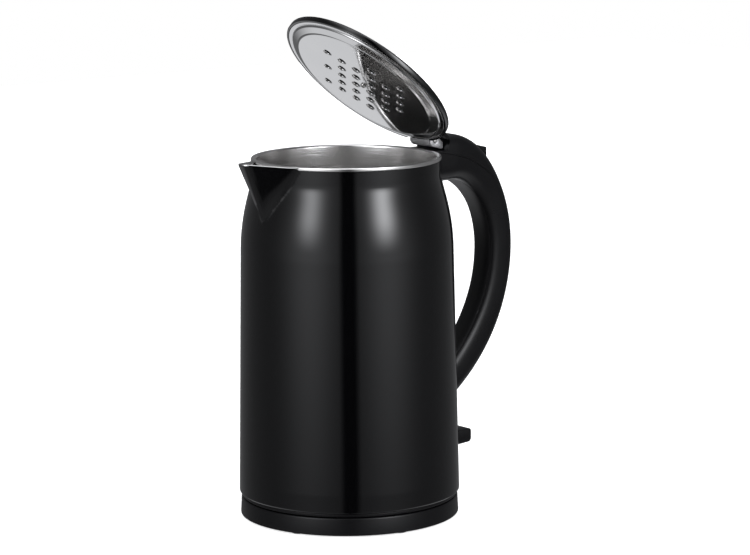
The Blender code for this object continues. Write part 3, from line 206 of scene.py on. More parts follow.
def finish(name, colour, roughness, spread, metallic=0.0, grain=1200, relief=0.00001, stretch=(1, 1, 1),
           patch=0.15, patch_scale=40, detail=4.0, gloss=0.5):
    """A Principled material: colour and roughness wander with noise, and the grain also gives a relief."""
    made = bpy.data.materials.new(name)
    made.use_nodes = True
    tree = made.node_tree
    shader = tree.nodes["Principled BSDF"]
    shader.inputs["Metallic"].default_value = metallic
    shader.inputs["Specular IOR Level"].default_value = gloss
    place = tree.nodes.new("ShaderNodeTexCoord")
    mapping = tree.nodes.new("ShaderNodeMapping")
    mapping.inputs["Scale"].default_value = stretch
    tree.links.new(place.outputs["Object"], mapping.inputs["Vector"])
    fine = tree.nodes.new("ShaderNodeTexNoise")
    fine.inputs["Scale"].default_value = grain
    fine.inputs["Detail"].default_value = detail
    tree.links.new(mapping.outputs[0], fine.inputs["Vector"])
    broad = tree.nodes.new("ShaderNodeTexNoise")
    broad.inputs["Scale"].default_value = patch_scale
    broad.inputs["Detail"].default_value = 3.0
    tree.links.new(place.outputs["Object"], broad.inputs["Vector"])
    both = value_node(tree, "MULTIPLY_ADD", broad.outputs[0], 0.5, value_node(tree, "MULTIPLY", fine.outputs[0], 0.5))
    rough = tree.nodes.new("ShaderNodeMapRange")
    tree.links.new(both, rough.inputs["Value"])
    for key, value in (("From Min", 0.3), ("From Max", 0.7), ("To Min", roughness - spread),
                       ("To Max", roughness + spread)):
        rough.inputs[key].default_value = value
    tree.links.new(rough.outputs["Result"], shader.inputs["Roughness"])
    shade = tree.nodes.new("ShaderNodeMix")
    shade.data_type = "RGBA"
    shade.inputs[6].default_value = (*[part * (1 - patch) for part in colour], 1)
    shade.inputs[7].default_value = (*[min(1.0, part * (1 + patch)) for part in colour], 1)
    tree.links.new(both, shade.inputs[0])
    tree.links.new(shade.outputs[2], shader.inputs["Base Color"])
    bump = tree.nodes.new("ShaderNodeBump")
    bump.inputs["Distance"].default_value = relief
    tree.links.new(fine.outputs[0], bump.inputs["Height"])
    tree.links.new(bump.outputs[0], shader.inputs["Normal"])
    return made


# %% [markdown]
# The body's black is a thick gloss lacquer, almost a mirror, with the faint waviness that paint has. The handle, the base
# and the switch are moulded black plastic with a fine satin grain. The steel inside the pot is brushed round and round, so
# its noise is stretched into thin level lines; the lid's steel is polished, so only a slow waviness is left.

# %% The finishes
gloss_black = finish("gloss_black", (0.0009, 0.0009, 0.0011), 0.055, 0.015, grain=420, relief=0.0000015)
satin_black = finish("satin_black", (0.0020, 0.0020, 0.0024), 0.30, 0.05, grain=3200, relief=0.000008, patch=0.25,
                     gloss=0.26)
soft_black = finish("soft_black", (0.0026, 0.0026, 0.0030), 0.48, 0.06, grain=2600, relief=0.000015, patch=0.25,
                    gloss=0.34)
rubber = finish("rubber", (0.016, 0.016, 0.016), 0.78, 0.08, grain=1800, relief=0.00003, patch=0.3)
brushed_steel = finish("brushed_steel", (0.84, 0.83, 0.82), 0.22, 0.04, 1.0, grain=14, relief=0.00004,
                       stretch=(1, 1, 260), patch=0.10)
polished_steel = finish("polished_steel", (0.60, 0.60, 0.60), 0.065, 0.02, 1.0, grain=30, relief=0.00006,
                        patch=0.05, detail=1.0)
steel_fastener = finish("steel_fastener", (0.55, 0.54, 0.53), 0.28, 0.08, 1.0, grain=900, relief=0.00001)
grey_steel = finish("grey_steel", (0.55, 0.55, 0.56), 0.36, 0.07, 0.75, grain=700, relief=0.00001, patch=0.08)
aluminium = finish("aluminium", (0.72, 0.72, 0.73), 0.42, 0.08, 1.0, grain=500, relief=0.00002, patch=0.1)
brass = finish("brass", (0.72, 0.53, 0.24), 0.30, 0.08, 1.0, grain=600, relief=0.00001, patch=0.12)
white_plastic = finish("white_plastic", (0.72, 0.71, 0.69), 0.48, 0.06, grain=2200, relief=0.00001, patch=0.06)
print("finishes made:", ", ".join(made.name for made in bpy.data.materials if made.use_nodes))

# %% [markdown]
# ## The floor
#
# A plain pale sheet under the kettle. It glows a little, so that it stays as white as the backdrop and only the contact
# shadow is left on it. Gloss surfaces don't mirror it, because the softboxes reach below the table's edge.

# %% Floor
floor_mesh = bpy.data.meshes.new("floor")
work = bmesh.new()
bmesh.ops.create_grid(work, x_segments=1, y_segments=1, size=2.6)
work.to_mesh(floor_mesh)
work.free()
floor = bpy.data.objects.new("floor", floor_mesh)
bpy.context.scene.collection.objects.link(floor)
floor.visible_glossy = False
paper = bpy.data.materials.new("paper")
paper.use_nodes = True
paper_shader = paper.node_tree.nodes["Principled BSDF"]
paper_shader.inputs["Base Color"].default_value = (0.85, 0.85, 0.85, 1)
paper_shader.inputs["Roughness"].default_value = 0.9
paper_shader.inputs["Specular IOR Level"].default_value = 0.0
paper_shader.inputs["Emission Color"].default_value = (1, 1, 1, 1)
paper_shader.inputs["Emission Strength"].default_value = 0.72
floor_mesh.materials.append(paper)
print("floor", round(floor.dimensions.x, 1), "m wide")

# %% [markdown]
# ## Helpers for shapes
#
# Most of a kettle is turned: a profile of (radius, height) points swept round an axis. Real edges are never sharp, so a
# corner of a profile may carry a third number, its rounding, and gets a small curve. Other pieces are lofts, a skin over
# rings of points. Both write plain quads, which shade well and cut cleanly.

# %% Profiles and skins
FINE_SIDES = 160


def rounded(points, steps=5):
    """The same polyline with each corner (x, z, size) replaced by a small curve."""
    soft = []
    for i, point in enumerate(points):
        if len(point) == 2 or i in (0, len(points) - 1):
            soft.append(tuple(point[:2]))
            continue
        here = Vector(point[:2])
        before = Vector(points[i - 1][:2]) - here
        after = Vector(points[i + 1][:2]) - here
        size = min(point[2], before.length * 0.49, after.length * 0.49)
        start = here + before.normalized() * size
        end = here + after.normalized() * size
        for k in range(steps + 1):
            t = k / steps
            soft.append(tuple((1 - t) ** 2 * start + 2 * t * (1 - t) * here + t * t * end))
    return soft


def bezier(start, near, far, end, count):
    """count + 1 points along a cubic curve, both ends included."""
    curve = []
    for i in range(count + 1):
        t = i / count
        weights = ((1 - t) ** 3, 3 * t * (1 - t) ** 2, 3 * t * t * (1 - t), t ** 3)
        curve.append(tuple(sum(w * p[k] for w, p in zip(weights, (start, near, far, end))) for k in range(2)))
    return curve


def arc(centre, radius, start, end, count):
    return [(centre[0] + radius * cos(radians(start + (end - start) * i / count)),
             centre[1] + radius * sin(radians(start + (end - start) * i / count))) for i in range(count + 1)]


def skin(name, rings, ring_closed=True, rings_closed=False, caps=True):
    """Faces over rings of equal point counts; the ends may be capped."""
    count = len(rings[0])
    points = [tuple(point) for ring in rings for point in ring]
    faces = []
    for r in range(len(rings) if rings_closed else len(rings) - 1):
        low = r * count
        high = ((r + 1) % len(rings)) * count
        for i in range(count if ring_closed else count - 1):
            j = (i + 1) % count
            faces.append((low + i, low + j, high + j, high + i))
    if caps and ring_closed and not rings_closed:
        faces.append(tuple(reversed(range(count))))
        faces.append(tuple(range(len(points) - count, len(points))))
    if caps and rings_closed and not ring_closed:
        faces.append(tuple(r * count for r in range(len(rings))))
        faces.append(tuple(r * count + count - 1 for r in reversed(range(len(rings)))))
    mesh = bpy.data.meshes.new(name)
    mesh.from_pydata(points, [], faces)
    return outward(mesh)


def outward(mesh, merge=0.000002):
    """Doubles merged, then every face turned to point out."""
    work = bmesh.new()
    work.from_mesh(mesh)
    bmesh.ops.remove_doubles(work, verts=work.verts, dist=merge)
    bmesh.ops.dissolve_degenerate(work, edges=work.edges, dist=merge)
    bmesh.ops.recalc_face_normals(work, faces=work.faces)
    work.to_mesh(mesh)
    work.free()
    return mesh


def turned(name, profile, sides=FINE_SIDES, centre=(0, 0)):
    """A (radius, z) profile swept about an upright line. An open profile starts and ends on the axis."""
    on_axis = profile[0][0] < 1e-7
    rings = [[(centre[0] + radius * cos(2 * pi * k / sides), centre[1] + radius * sin(2 * pi * k / sides), z)
              for k in range(sides)] for radius, z in profile]
    return skin(name, rings, rings_closed=not on_axis, caps=False)


def slab(name, outline, half_width, middle=0.0, soften=0.0, segments=3):
    """An (x, z) outline made half_width thick each way, its edges softened."""
    rings = [[(x, middle + side * half_width, z) for x, z in outline] for side in (-1, 1)]
    mesh = skin(name, rings)
    return softened(mesh, soften, segments) if soften else mesh


def softened(mesh, width, segments=3, angle=28):
    """The mesh after a Bevel on its sharp edges."""
    helper = bpy.data.objects.new("helper", mesh)
    bpy.context.scene.collection.objects.link(helper)
    bevel = helper.modifiers.new("soft_edges", "BEVEL")
    bevel.width = width
    bevel.segments = segments
    bevel.limit_method = "ANGLE"
    bevel.angle_limit = radians(angle)
    return applied(helper)


def applied(helper):
    """The helper's evaluated shape as a plain mesh; the helper goes."""
    bpy.context.view_layer.update()
    graph = bpy.context.evaluated_depsgraph_get()
    mesh = bpy.data.meshes.new_from_object(helper.evaluated_get(graph))
    bpy.data.objects.remove(helper, do_unlink=True)
    return mesh


def combined(mesh, operation, *tools):
    """The mesh after Booleans with the tool meshes, all in body coordinates."""
    helper = bpy.data.objects.new("helper", mesh)
    bpy.context.scene.collection.objects.link(helper)
    others = []
    for tool in tools:
        other = bpy.data.objects.new("tool", tool)
        bpy.context.scene.collection.objects.link(other)
        step = helper.modifiers.new("step", "BOOLEAN")
        step.operation = operation
        step.object = other
        step.solver = "EXACT"
        others.append(other)
    result = applied(helper)
    for other in others:
        bpy.data.objects.remove(other, do_unlink=True)
    return result


def block(name, low, high):
    size = Vector(high) - Vector(low)
    middle = (Vector(high) + Vector(low)) / 2
    work = bmesh.new()
    bmesh.ops.create_cube(work, size=1, matrix=Matrix.Translation(middle) @ Matrix.Diagonal((*size, 1)))
    mesh = bpy.data.meshes.new(name)
    work.to_mesh(mesh)
    work.free()
    return mesh


def rod(name, start, end, radius, sides=32):
    run = Vector(end) - Vector(start)
    turn = Vector((0, 0, 1)).rotation_difference(run).to_matrix().to_4x4()
    work = bmesh.new()
    bmesh.ops.create_cone(work, cap_ends=True, segments=sides, radius1=radius, radius2=radius, depth=run.length,
                          matrix=Matrix.Translation((Vector(start) + Vector(end)) / 2) @ turn)
    mesh = bpy.data.meshes.new(name)
    work.to_mesh(mesh)
    work.free()
    return mesh


# %% [markdown]
# A finished piece has its place in its mesh, rides on a body of the frame, takes a finish, and hides the frame nodes it
# stands for. One helper does all of that, and prints a line for each piece.

# %% Putting a piece in place


def place(name, mesh, finish_used, slot, body, *nodes, where=None, sharp=32):
    mesh.transform(to_place if where is None else where)
    mesh.name = name
    mesh.materials.clear()
    mesh.materials.append(finish_used)
    mesh.shade_smooth()
    mesh.set_sharp_from_angle(angle=radians(sharp))
    obj = bpy.data.objects.new(name, mesh)
    bpy.context.scene.collection.objects.link(obj)
    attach(obj, body)
    if nodes:
        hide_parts(*nodes)
    print(f"{name}: {len(mesh.polygons)} faces on {body}")
    return obj


# %% [markdown]
# ## Copies that repeat
#
# Feet, screws and punched holes repeat, so Geometry Nodes set them out. One tree puts copies on a ring, with named
# inputs for their number, circle and turn; another puts copies on given points. Both end by making the copies real
# and giving them their finish, and the result is turned into a plain mesh.

# %% Node trees for copies


def new_tree(name, sockets):
    tree = bpy.data.node_groups.new(name, "GeometryNodeTree")
    for label, kind in sockets:
        tree.interface.new_socket(label, in_out="INPUT", socket_type=kind)
    tree.interface.new_socket("Geometry", in_out="OUTPUT", socket_type="NodeSocketGeometry")
    return tree, tree.nodes.new("NodeGroupInput"), tree.nodes.new("NodeGroupOutput")


def copies_on(tree, source, points, copy_socket, finish_socket, target):
    shape = tree.nodes.new("GeometryNodeObjectInfo")
    tree.links.new(copy_socket, shape.inputs["Object"])
    spread = tree.nodes.new("GeometryNodeInstanceOnPoints")
    tree.links.new(points, spread.inputs["Points"])
    tree.links.new(shape.outputs["Geometry"], spread.inputs["Instance"])
    real = tree.nodes.new("GeometryNodeRealizeInstances")
    tree.links.new(spread.outputs[0], real.inputs[0])
    dressed = tree.nodes.new("GeometryNodeSetMaterial")
    tree.links.new(real.outputs[0], dressed.inputs["Geometry"])
    tree.links.new(finish_socket, dressed.inputs["Material"])
    tree.links.new(dressed.outputs[0], target.inputs[0])
    return spread


ring_tree, ring_in, ring_out = new_tree("copies_on_a_ring", (
    ("Count", "NodeSocketInt"), ("Circle", "NodeSocketFloat"), ("Turn", "NodeSocketFloat"),
    ("Height", "NodeSocketFloat"), ("Copy", "NodeSocketObject"), ("Finish", "NodeSocketMaterial")))
circle = ring_tree.nodes.new("GeometryNodeMeshCircle")
ring_tree.links.new(ring_in.outputs["Count"], circle.inputs["Vertices"])
ring_tree.links.new(ring_in.outputs["Circle"], circle.inputs["Radius"])
turn_up = ring_tree.nodes.new("ShaderNodeCombineXYZ")
ring_tree.links.new(ring_in.outputs["Turn"], turn_up.inputs["Z"])
lift_up = ring_tree.nodes.new("ShaderNodeCombineXYZ")
ring_tree.links.new(ring_in.outputs["Height"], lift_up.inputs["Z"])
shift = ring_tree.nodes.new("GeometryNodeTransform")
ring_tree.links.new(circle.outputs[0], shift.inputs["Geometry"])
ring_tree.links.new(turn_up.outputs[0], shift.inputs["Rotation"])
ring_tree.links.new(lift_up.outputs[0], shift.inputs["Translation"])
copies_on(ring_tree, ring_in, shift.outputs[0], ring_in.outputs["Copy"], ring_in.outputs["Finish"], ring_out)

point_tree, point_in, point_out = new_tree("copies_on_points", (
    ("Points", "NodeSocketGeometry"), ("Copy", "NodeSocketObject"), ("Finish", "NodeSocketMaterial")))
copies_on(point_tree, point_in, point_in.outputs["Points"], point_in.outputs["Copy"], point_in.outputs["Finish"],
          point_out)


def run_tree(tree, start_mesh, **values):
    """The tree's result as a plain mesh. Inputs are set by their identifiers before anything is evaluated."""
    helper = bpy.data.objects.new("helper", start_mesh)
    bpy.context.scene.collection.objects.link(helper)
    nodes = helper.modifiers.new("copies", "NODES")
    nodes.node_group = tree
    names = {item.name: item.identifier for item in tree.interface.items_tree if item.in_out == "INPUT"}
    for label, value in values.items():
        nodes[names[label]] = value
    return applied(helper)


def ring_of(copy_mesh, finish_used, count, circle_radius, turn, height):
    """Copies of a mesh on a level circle about the body's axis."""
    copy = bpy.data.objects.new("copy", copy_mesh)
    bpy.context.scene.collection.objects.link(copy)
    made = run_tree(ring_tree, bpy.data.meshes.new("empty"), Count=count, Circle=circle_radius, Turn=radians(turn),
                    Height=height, Copy=copy, Finish=finish_used)
    bpy.data.objects.remove(copy, do_unlink=True)
    return made


def copies_at(points, copy_mesh, finish_used):
    """Copies of a mesh at the points."""
    start = bpy.data.meshes.new("points")
    start.from_pydata([tuple(point) for point in points], [], [])
    copy = bpy.data.objects.new("copy", copy_mesh)
    bpy.context.scene.collection.objects.link(copy)
    made = run_tree(point_tree, start, Copy=copy, Finish=finish_used)
    bpy.data.objects.remove(copy, do_unlink=True)
    return made


def screw_mesh(head_radius, head_height, shank_radius, shank_length, up=1):
    """A pan-head screw with a cross recess, its head's flat side at the origin and its shank along +Z (or -Z)."""
    profile = rounded([(0, -head_height), (head_radius * 0.72, -head_height, head_height * 0.6),
                       (head_radius, -head_height * 0.35, head_height * 0.3), (head_radius, 0),
                       (shank_radius, 0, 0.0001), (shank_radius, shank_length * 0.93), (shank_radius * 0.7, shank_length),
                       (0, shank_length)], 3)
    body = turned("screw", profile, 24)
    arm = head_radius * 0.58
    slim = head_radius * 0.13
    deep = -head_height * 0.45
    body = combined(body, "DIFFERENCE", block("recess", (-arm, -slim, -head_height * 1.2), (arm, slim, deep)),
                    block("recess", (-slim, -arm, -head_height * 1.2), (slim, arm, deep)))
    if up < 0:
        body.transform(Matrix.Rotation(pi, 4, "X"))
    return body


print("trees:", ring_tree.name, point_tree.name)

# %% [markdown]
# ## The outer shell and its beak
#
# The glossy shell is drawn in one piece: a slightly tapered barrel, a shoulder that draws in to the collar, and a beak
# pulled out of the collar. Joining a cone to a turned barrel with a Boolean leaves a hard crease, so the shell is written
# as one surface instead. At each height and direction its radius is the larger of the barrel and the beak, with a smooth
# blend where they meet. An inner skin gives it its wall.

# %% Outline of the body
BODY_BOTTOM = 0.0162
BODY_LOW_RADIUS = 0.0757
BODY_HIGH_RADIUS = 0.0726
SHOULDER_BOTTOM = 0.1820
COLLAR_BOTTOM = 0.2340
COLLAR_RADIUS = 0.0644
RIM_TOP = reach("inner_pot", 2)[1]
RIM_RADIUS = 0.0647
RIM_ROLL = 0.0022
SHELL_WALL = 0.0018
EDGE_ROLL = 0.0014
CLEAR = 0.0003            # between pieces that touch
COLLAR_TOP = RIM_TOP - RIM_ROLL - CLEAR

LIP_TOP = 0.2490
LIP_ROOT = 0.2466
LIP_THICK = 0.0012
SPOUT_REACH = 0.0880
SPOUT_NOSE = 0.0075
SPOUT_HALF_ANGLE = 25
BEAK_FOOT = (-0.0690, 0.2050)

shoulder = bezier((COLLAR_RADIUS, COLLAR_BOTTOM), (COLLAR_RADIUS + 0.0002, COLLAR_BOTTOM - 0.008),
                  (BODY_HIGH_RADIUS - 0.0002, SHOULDER_BOTTOM + 0.029), (BODY_HIGH_RADIUS, SHOULDER_BOTTOM), 60)
body_side = [(COLLAR_RADIUS, COLLAR_TOP), *shoulder, (BODY_LOW_RADIUS, BODY_BOTTOM + EDGE_ROLL), (BODY_LOW_RADIUS, 0.0)]


def between(table, key):
    """Reads a (key, value) table, sorted by key, with straight lines in between."""
    if key <= table[0][0]:
        return table[0][1]
    for (low, first), (high, second) in zip(table, table[1:]):
        if key <= high:
            return first + (second - first) * (key - low) / (high - low) if high > low else second
    return table[-1][1]


side_table = sorted((z, radius) for radius, z in body_side)


def body_radius(z):
    return between(side_table, z)


def lip_outline(inset=0.0, steps=40):
    """Half of the beak's rim in plan, from inside the collar round to the tip, shrunk by inset."""
    half = radians(SPOUT_HALF_ANGLE)
    nose = SPOUT_NOSE - inset
    side = Vector((-COLLAR_RADIUS * cos(half), COLLAR_RADIUS * sin(half) - inset))
    tip = [Vector(point) for point in arc((-(SPOUT_REACH - SPOUT_NOSE), 0), nose, 125, 180, steps)]
    start = Vector((-COLLAR_RADIUS + 0.030, side.y))
    run = [start.lerp(side, k / 8) for k in range(8)] + [side.lerp(tip[0], k / steps) for k in range(steps)]
    return run + tip


def lip_height(x):
    return LIP_ROOT + (LIP_TOP - LIP_ROOT) / (SPOUT_REACH - COLLAR_RADIUS) * max(0.0, -x - COLLAR_RADIUS)


plan = lip_outline()


def beak_radius(turn, z):
    """How far the beak's cone reaches in a direction, turn radians from straight ahead, at a height."""
    share = (z - BEAK_FOOT[1]) / (LIP_TOP - 0.0012 - BEAK_FOOT[1])
    if share <= 0.02:
        return 0.0
    section = [(BEAK_FOOT[0] + (point.x - BEAK_FOOT[0]) * share, point.y * share) for point in plan]
    table = sorted((atan2(y, -x), sqrt(x * x + y * y)) for x, y in section)
    return between(table, abs(turn)) if abs(turn) <= table[-1][0] else 0.0


def blend_up(first, second, soft):
    near = max(soft - abs(first - second), 0.0)
    return max(first, second) + near * near / (4 * soft)


def smooth_step(low, high, value):
    t = min(1.0, max(0.0, (value - low) / (high - low)))
    return t * t * (3 - 2 * t)


SHELL_SIDES = 288
BEAK_ROWS = 44
print("barrel from", round(body_radius(0.05), 4), "to", round(body_radius(0.24), 4), "m radius")

# %% The shell's two skins
turns = [2 * pi * k / SHELL_SIDES - pi for k in range(SHELL_SIDES)]       # 0 points along the beak
low_rows = [BODY_BOTTOM + EDGE_ROLL + (SHOULDER_BOTTOM - BODY_BOTTOM - EDGE_ROLL) * k / 14 for k in range(14)]
low_rows += [SHOULDER_BOTTOM + (BEAK_FOOT[1] - SHOULDER_BOTTOM) * k / 10 for k in range(10)]


def shell_top(turn):
    far = beak_radius(turn, LIP_TOP - 0.0016)
    share = smooth_step(COLLAR_RADIUS - 0.0010, COLLAR_RADIUS + 0.0012, far)
    return COLLAR_TOP + (lip_height(-far * cos(turn)) - LIP_THICK - COLLAR_TOP) * share


def shell_point(turn, radius, z):
    return (-radius * cos(turn), radius * sin(turn), z)


def shell_ring(rise, inset):
    """One ring of the shell: rise runs from 0 at the beak's foot to 1 at the top edge."""
    ring = []
    for turn in turns:
        top = shell_top(turn)
        z = BEAK_FOOT[1] + (top - BEAK_FOOT[1]) * rise
        soft = 0.0006 + 0.0062 * smooth_step(0.0, 0.25, rise) - 0.0052 * smooth_step(0.45, 1.0, rise)
        radius = blend_up(body_radius(z), beak_radius(turn, z), soft)
        ring.append(shell_point(turn, radius - inset, z))
    return ring


outer_rings = [[shell_point(turn, BODY_LOW_RADIUS - EDGE_ROLL * (1 - sin(k * pi / 12)),
                            BODY_BOTTOM + EDGE_ROLL * (1 - cos(k * pi / 12))) for turn in turns] for k in range(6)]
outer_rings += [[shell_point(turn, body_radius(z), z) for turn in turns] for z in low_rows]
outer_rings += [shell_ring(k / BEAK_ROWS, 0.0) for k in range(BEAK_ROWS + 1)]
inner_rings = [shell_ring(k / BEAK_ROWS, SHELL_WALL) for k in range(BEAK_ROWS, -1, -1)]
inner_rings += [[shell_point(turn, body_radius(z) - SHELL_WALL, z) for turn in turns] for z in reversed(low_rows)]
inner_rings += [[shell_point(turn, BODY_LOW_RADIUS - EDGE_ROLL - SHELL_WALL, BODY_BOTTOM) for turn in turns]]
shell = skin("outer_shell", outer_rings + inner_rings, rings_closed=True, caps=False)
print("shell before its openings:", len(shell.polygons), "faces")

# %% Openings in the shell
LEVER_HALF_WIDTH = 0.0090
LEVER_UNDER = 0.0348
LEVER_TOP = 0.0452
STEAM_PORT = 0.2290
slot = 0.0008
shell = combined(shell, "DIFFERENCE",
                 block("lever_slot", (0.060, -LEVER_HALF_WIDTH - slot, LEVER_UNDER - 0.0024),
                       (0.090, LEVER_HALF_WIDTH + slot, LEVER_TOP + slot)),
                 rod("steam_hole", (0.058, 0, STEAM_PORT), (0.070, 0, STEAM_PORT), 0.0025),
                 rod("screw_hole", (0.070, 0, 0.0745), (0.079, 0, 0.0745), 0.0014))
place("shell_fine", shell, gloss_black, "gloss_black", "kettle", "outer_shell")

# %% [markdown]
# ## The steel pot
#
# The pot is deep-drawn steel with a rim rolled over the collar. It is turned from one profile. Behind the spout the
# wall is punched with a small strainer; the punches are copies set out by the node tree and cut in one Boolean.

# %% Pot
POT_RADIUS = 0.0612
POT_WALL = 0.0008
POT_FLOOR = 0.0492
POT_CORNER = 0.0090
roll = RIM_TOP - RIM_ROLL
outer_wall = POT_RADIUS + POT_WALL
pot_profile = rounded([(0, POT_FLOOR - POT_WALL), (outer_wall, POT_FLOOR - POT_WALL, POT_CORNER), (outer_wall, roll, 0.0004),
                       (RIM_RADIUS, roll, 0.0003), (RIM_RADIUS, RIM_TOP, 0.0011), (POT_RADIUS, RIM_TOP, 0.0015),
                       (POT_RADIUS, 0.2380), (POT_RADIUS, 0.1500), (POT_RADIUS, POT_FLOOR, POT_CORNER - POT_WALL),
                       (0, POT_FLOOR)], 8)
STRAINER_COLUMNS = 5
STRAINER_ROWS = 3
STRAINER_PITCH = 0.0052
STRAINER_HOLE = 0.0014
top_row = RIM_TOP - RIM_ROLL - 0.0070
strainer = [(-POT_RADIUS, (column - (STRAINER_COLUMNS - 1) / 2) * STRAINER_PITCH, top_row - row * STRAINER_PITCH)
            for row in range(STRAINER_ROWS) for column in range(STRAINER_COLUMNS)]
punches = copies_at(strainer, rod("punch", (-0.006, 0, 0), (0.006, 0, 0), STRAINER_HOLE, 20), brushed_steel)
pot = combined(turned("pot", pot_profile, 192), "DIFFERENCE", punches,
               rod("steam_port", (0.055, 0, STEAM_PORT), (0.066, 0, STEAM_PORT), 0.0025))
place("pot_fine", pot, brushed_steel, "brushed_steel", "kettle", "inner_pot")
print("strainer holes:", len(strainer))

# %% [markdown]
# ## The spout's steel lip
#
# The beak is lined with thin steel that folds over its edge as a bright lip. The lining is a loft: every row is the
# beak's outline, a little smaller and lower than the one above, and the last rows roll over the edge and come back.

# %% Lip and lining
LINER_INSET = SHELL_WALL + CLEAR
LINER_WALL = 0.0007


def beak_row(inset, share, lift=0.0, count=84):
    """The open outline of the beak from one side of the pot to the other, at a share of the way up from its foot."""
    half = lip_outline(inset, 30)
    points = [(point.x, point.y, lip_height(point.x) + lift) for point in half]
    points += [(x, -y, z) for x, y, z in reversed(points[:-1])]
    foot = Vector((BEAK_FOOT[0] + inset, 0, BEAK_FOOT[1] + inset))
    moved = [foot + (Vector(point) - foot) * share for point in points]
    near = RIM_RADIUS + CLEAR
    kept = [point for point in moved if sqrt(point.x ** 2 + point.y ** 2) >= near]
    lengths = [0.0]
    for one, two in zip(kept, kept[1:]):
        lengths.append(lengths[-1] + (two - one).length)
    row = []
    at = 0
    for k in range(count):
        want = lengths[-1] * k / (count - 1)
        while at < len(lengths) - 2 and lengths[at + 1] < want:
            at += 1
        step = lengths[at + 1] - lengths[at]
        row.append(kept[at].lerp(kept[at + 1], (want - lengths[at]) / step if step else 0.0))
    return row


shares = [0.10, 0.2, 0.3, 0.4, 0.5, 0.6, 0.7, 0.8, 0.88, 0.94, 0.98]
inside = LINER_INSET + LINER_WALL
rows = [beak_row(inside, share) for share in shares]
rows += [beak_row(inside - 0.0002, 1.0, -0.0003), beak_row(inside - 0.0006, 1.0, 0.0), beak_row(0.0012, 1.0, 0.0001),
         beak_row(0.0004, 1.0, 0.0), beak_row(0.0, 1.0, -0.0004), beak_row(0.0, 1.0, -LIP_THICK + CLEAR),
         beak_row(0.0003, 1.0, -LIP_THICK + CLEAR), beak_row(LINER_INSET, 1.0, -LIP_THICK + CLEAR)]
rows += [beak_row(LINER_INSET, share) for share in reversed(shares[:-2])]
liner = skin("liner", rows, ring_closed=False, rings_closed=True)
place("spout_lip_fine", liner, polished_steel, "brushed_steel", "kettle", "spout_liner", sharp=50)

# %% [markdown]
# ## The underside of the kettle and its socket
#
# A moulded cover closes the shell's foot. Its skirt sits a little inside the shell, which draws the thin dark line above
# the base. Three screws hold it; they are copies on a ring. The socket in its middle drops over the base's connector.

# %% Bottom cover, screws, socket
SEAT = reach("bottom_cover", 2)[0]
socket_low, socket_top = reach("kettle_socket", 2)
SOCKET_OUTER = reach("kettle_socket", 1)[1]
cover_out = BODY_LOW_RADIUS - EDGE_ROLL - SHELL_WALL - CLEAR
skirt = BODY_LOW_RADIUS - EDGE_ROLL - 0.0004
hub = SOCKET_OUTER + 0.0004
plate = SEAT + 0.0020
step = BODY_BOTTOM - CLEAR
ribs = [(0.0420, plate, 0.0002), (0.0420, plate - 0.0008, 0.0002), (0.0440, plate - 0.0008, 0.0002), (0.0440, plate, 0.0002)]
cover = turned("cover", rounded([(hub, plate, 0.0003), *ribs, (cover_out - 0.002, plate, 0.0003),
                                 (cover_out - 0.002, BODY_BOTTOM + 0.004), (cover_out, BODY_BOTTOM + 0.004), (cover_out, step),
                                 (skirt, step, 0.0002), (skirt, SEAT, 0.0005), (0.0640, SEAT, 0.0003), (0.0636, SEAT + 0.0007, 0.0003),
                                 (0.0620, SEAT + 0.0007, 0.0003), (0.0616, SEAT, 0.0003), (hub, SEAT, 0.0003)], 3))
COVER_SCREWS = 0.0560
holes = [Vector((COVER_SCREWS * cos(radians(60 + 120 * k)), COVER_SCREWS * sin(radians(60 + 120 * k)), SEAT)) for k in range(3)]
cover = combined(cover, "DIFFERENCE", *[rod("hole", point - Vector((0, 0, 0.001)), point + Vector((0, 0, 0.003)), 0.0017)
                                        for point in holes])
place("bottom_cover_fine", cover, satin_black, "satin_black", "kettle", "bottom_cover")
cover_screws = ring_of(screw_mesh(0.0028, 0.0012, 0.0014, 0.0018, up=-1), steel_fastener, 3, COVER_SCREWS, 60,
                       plate + CLEAR)
place("bottom_cover_screws_fine", cover_screws, steel_fastener, "steel_fastener", "kettle",
      "bottom_cover_screw_1", "bottom_cover_screw_2", "bottom_cover_screw_3")

CONNECTOR_TOP = reach("base_connector_housing", 2)[1]
CONNECTOR_RADIUS = reach("base_connector_housing", 1)[1]
ROOM = 0.0006
bore = 0.0135 + ROOM
roof = CONNECTOR_TOP + ROOM
socket = turned("socket", rounded([
    (0, socket_top), (SOCKET_OUTER, socket_top, 0.0005), (SOCKET_OUTER, socket_low, 0.0004), (bore, socket_low, 0.0008),
    (bore, roof, 0.0004), (0.0098, roof, 0.0002), (0.0098, 0.0169, 0.0003), (0.0079, 0.0169, 0.0003), (0.0079, roof, 0.0002),
    (0.0024, roof, 0.0004), (0.0024, roof + 0.0015, 0.0002), (0, roof + 0.0015)], 3), 120)
place("kettle_socket_fine", socket, satin_black, "satin_black", "kettle_socket", "kettle_socket")

# %% [markdown]
# ## The power base
#
# A shallow moulded dish turned upside down, with a plate screwed in from below and six rubber feet. Its upper edge is
# softly rounded, and a fine groove runs round the deck where the kettle stands.

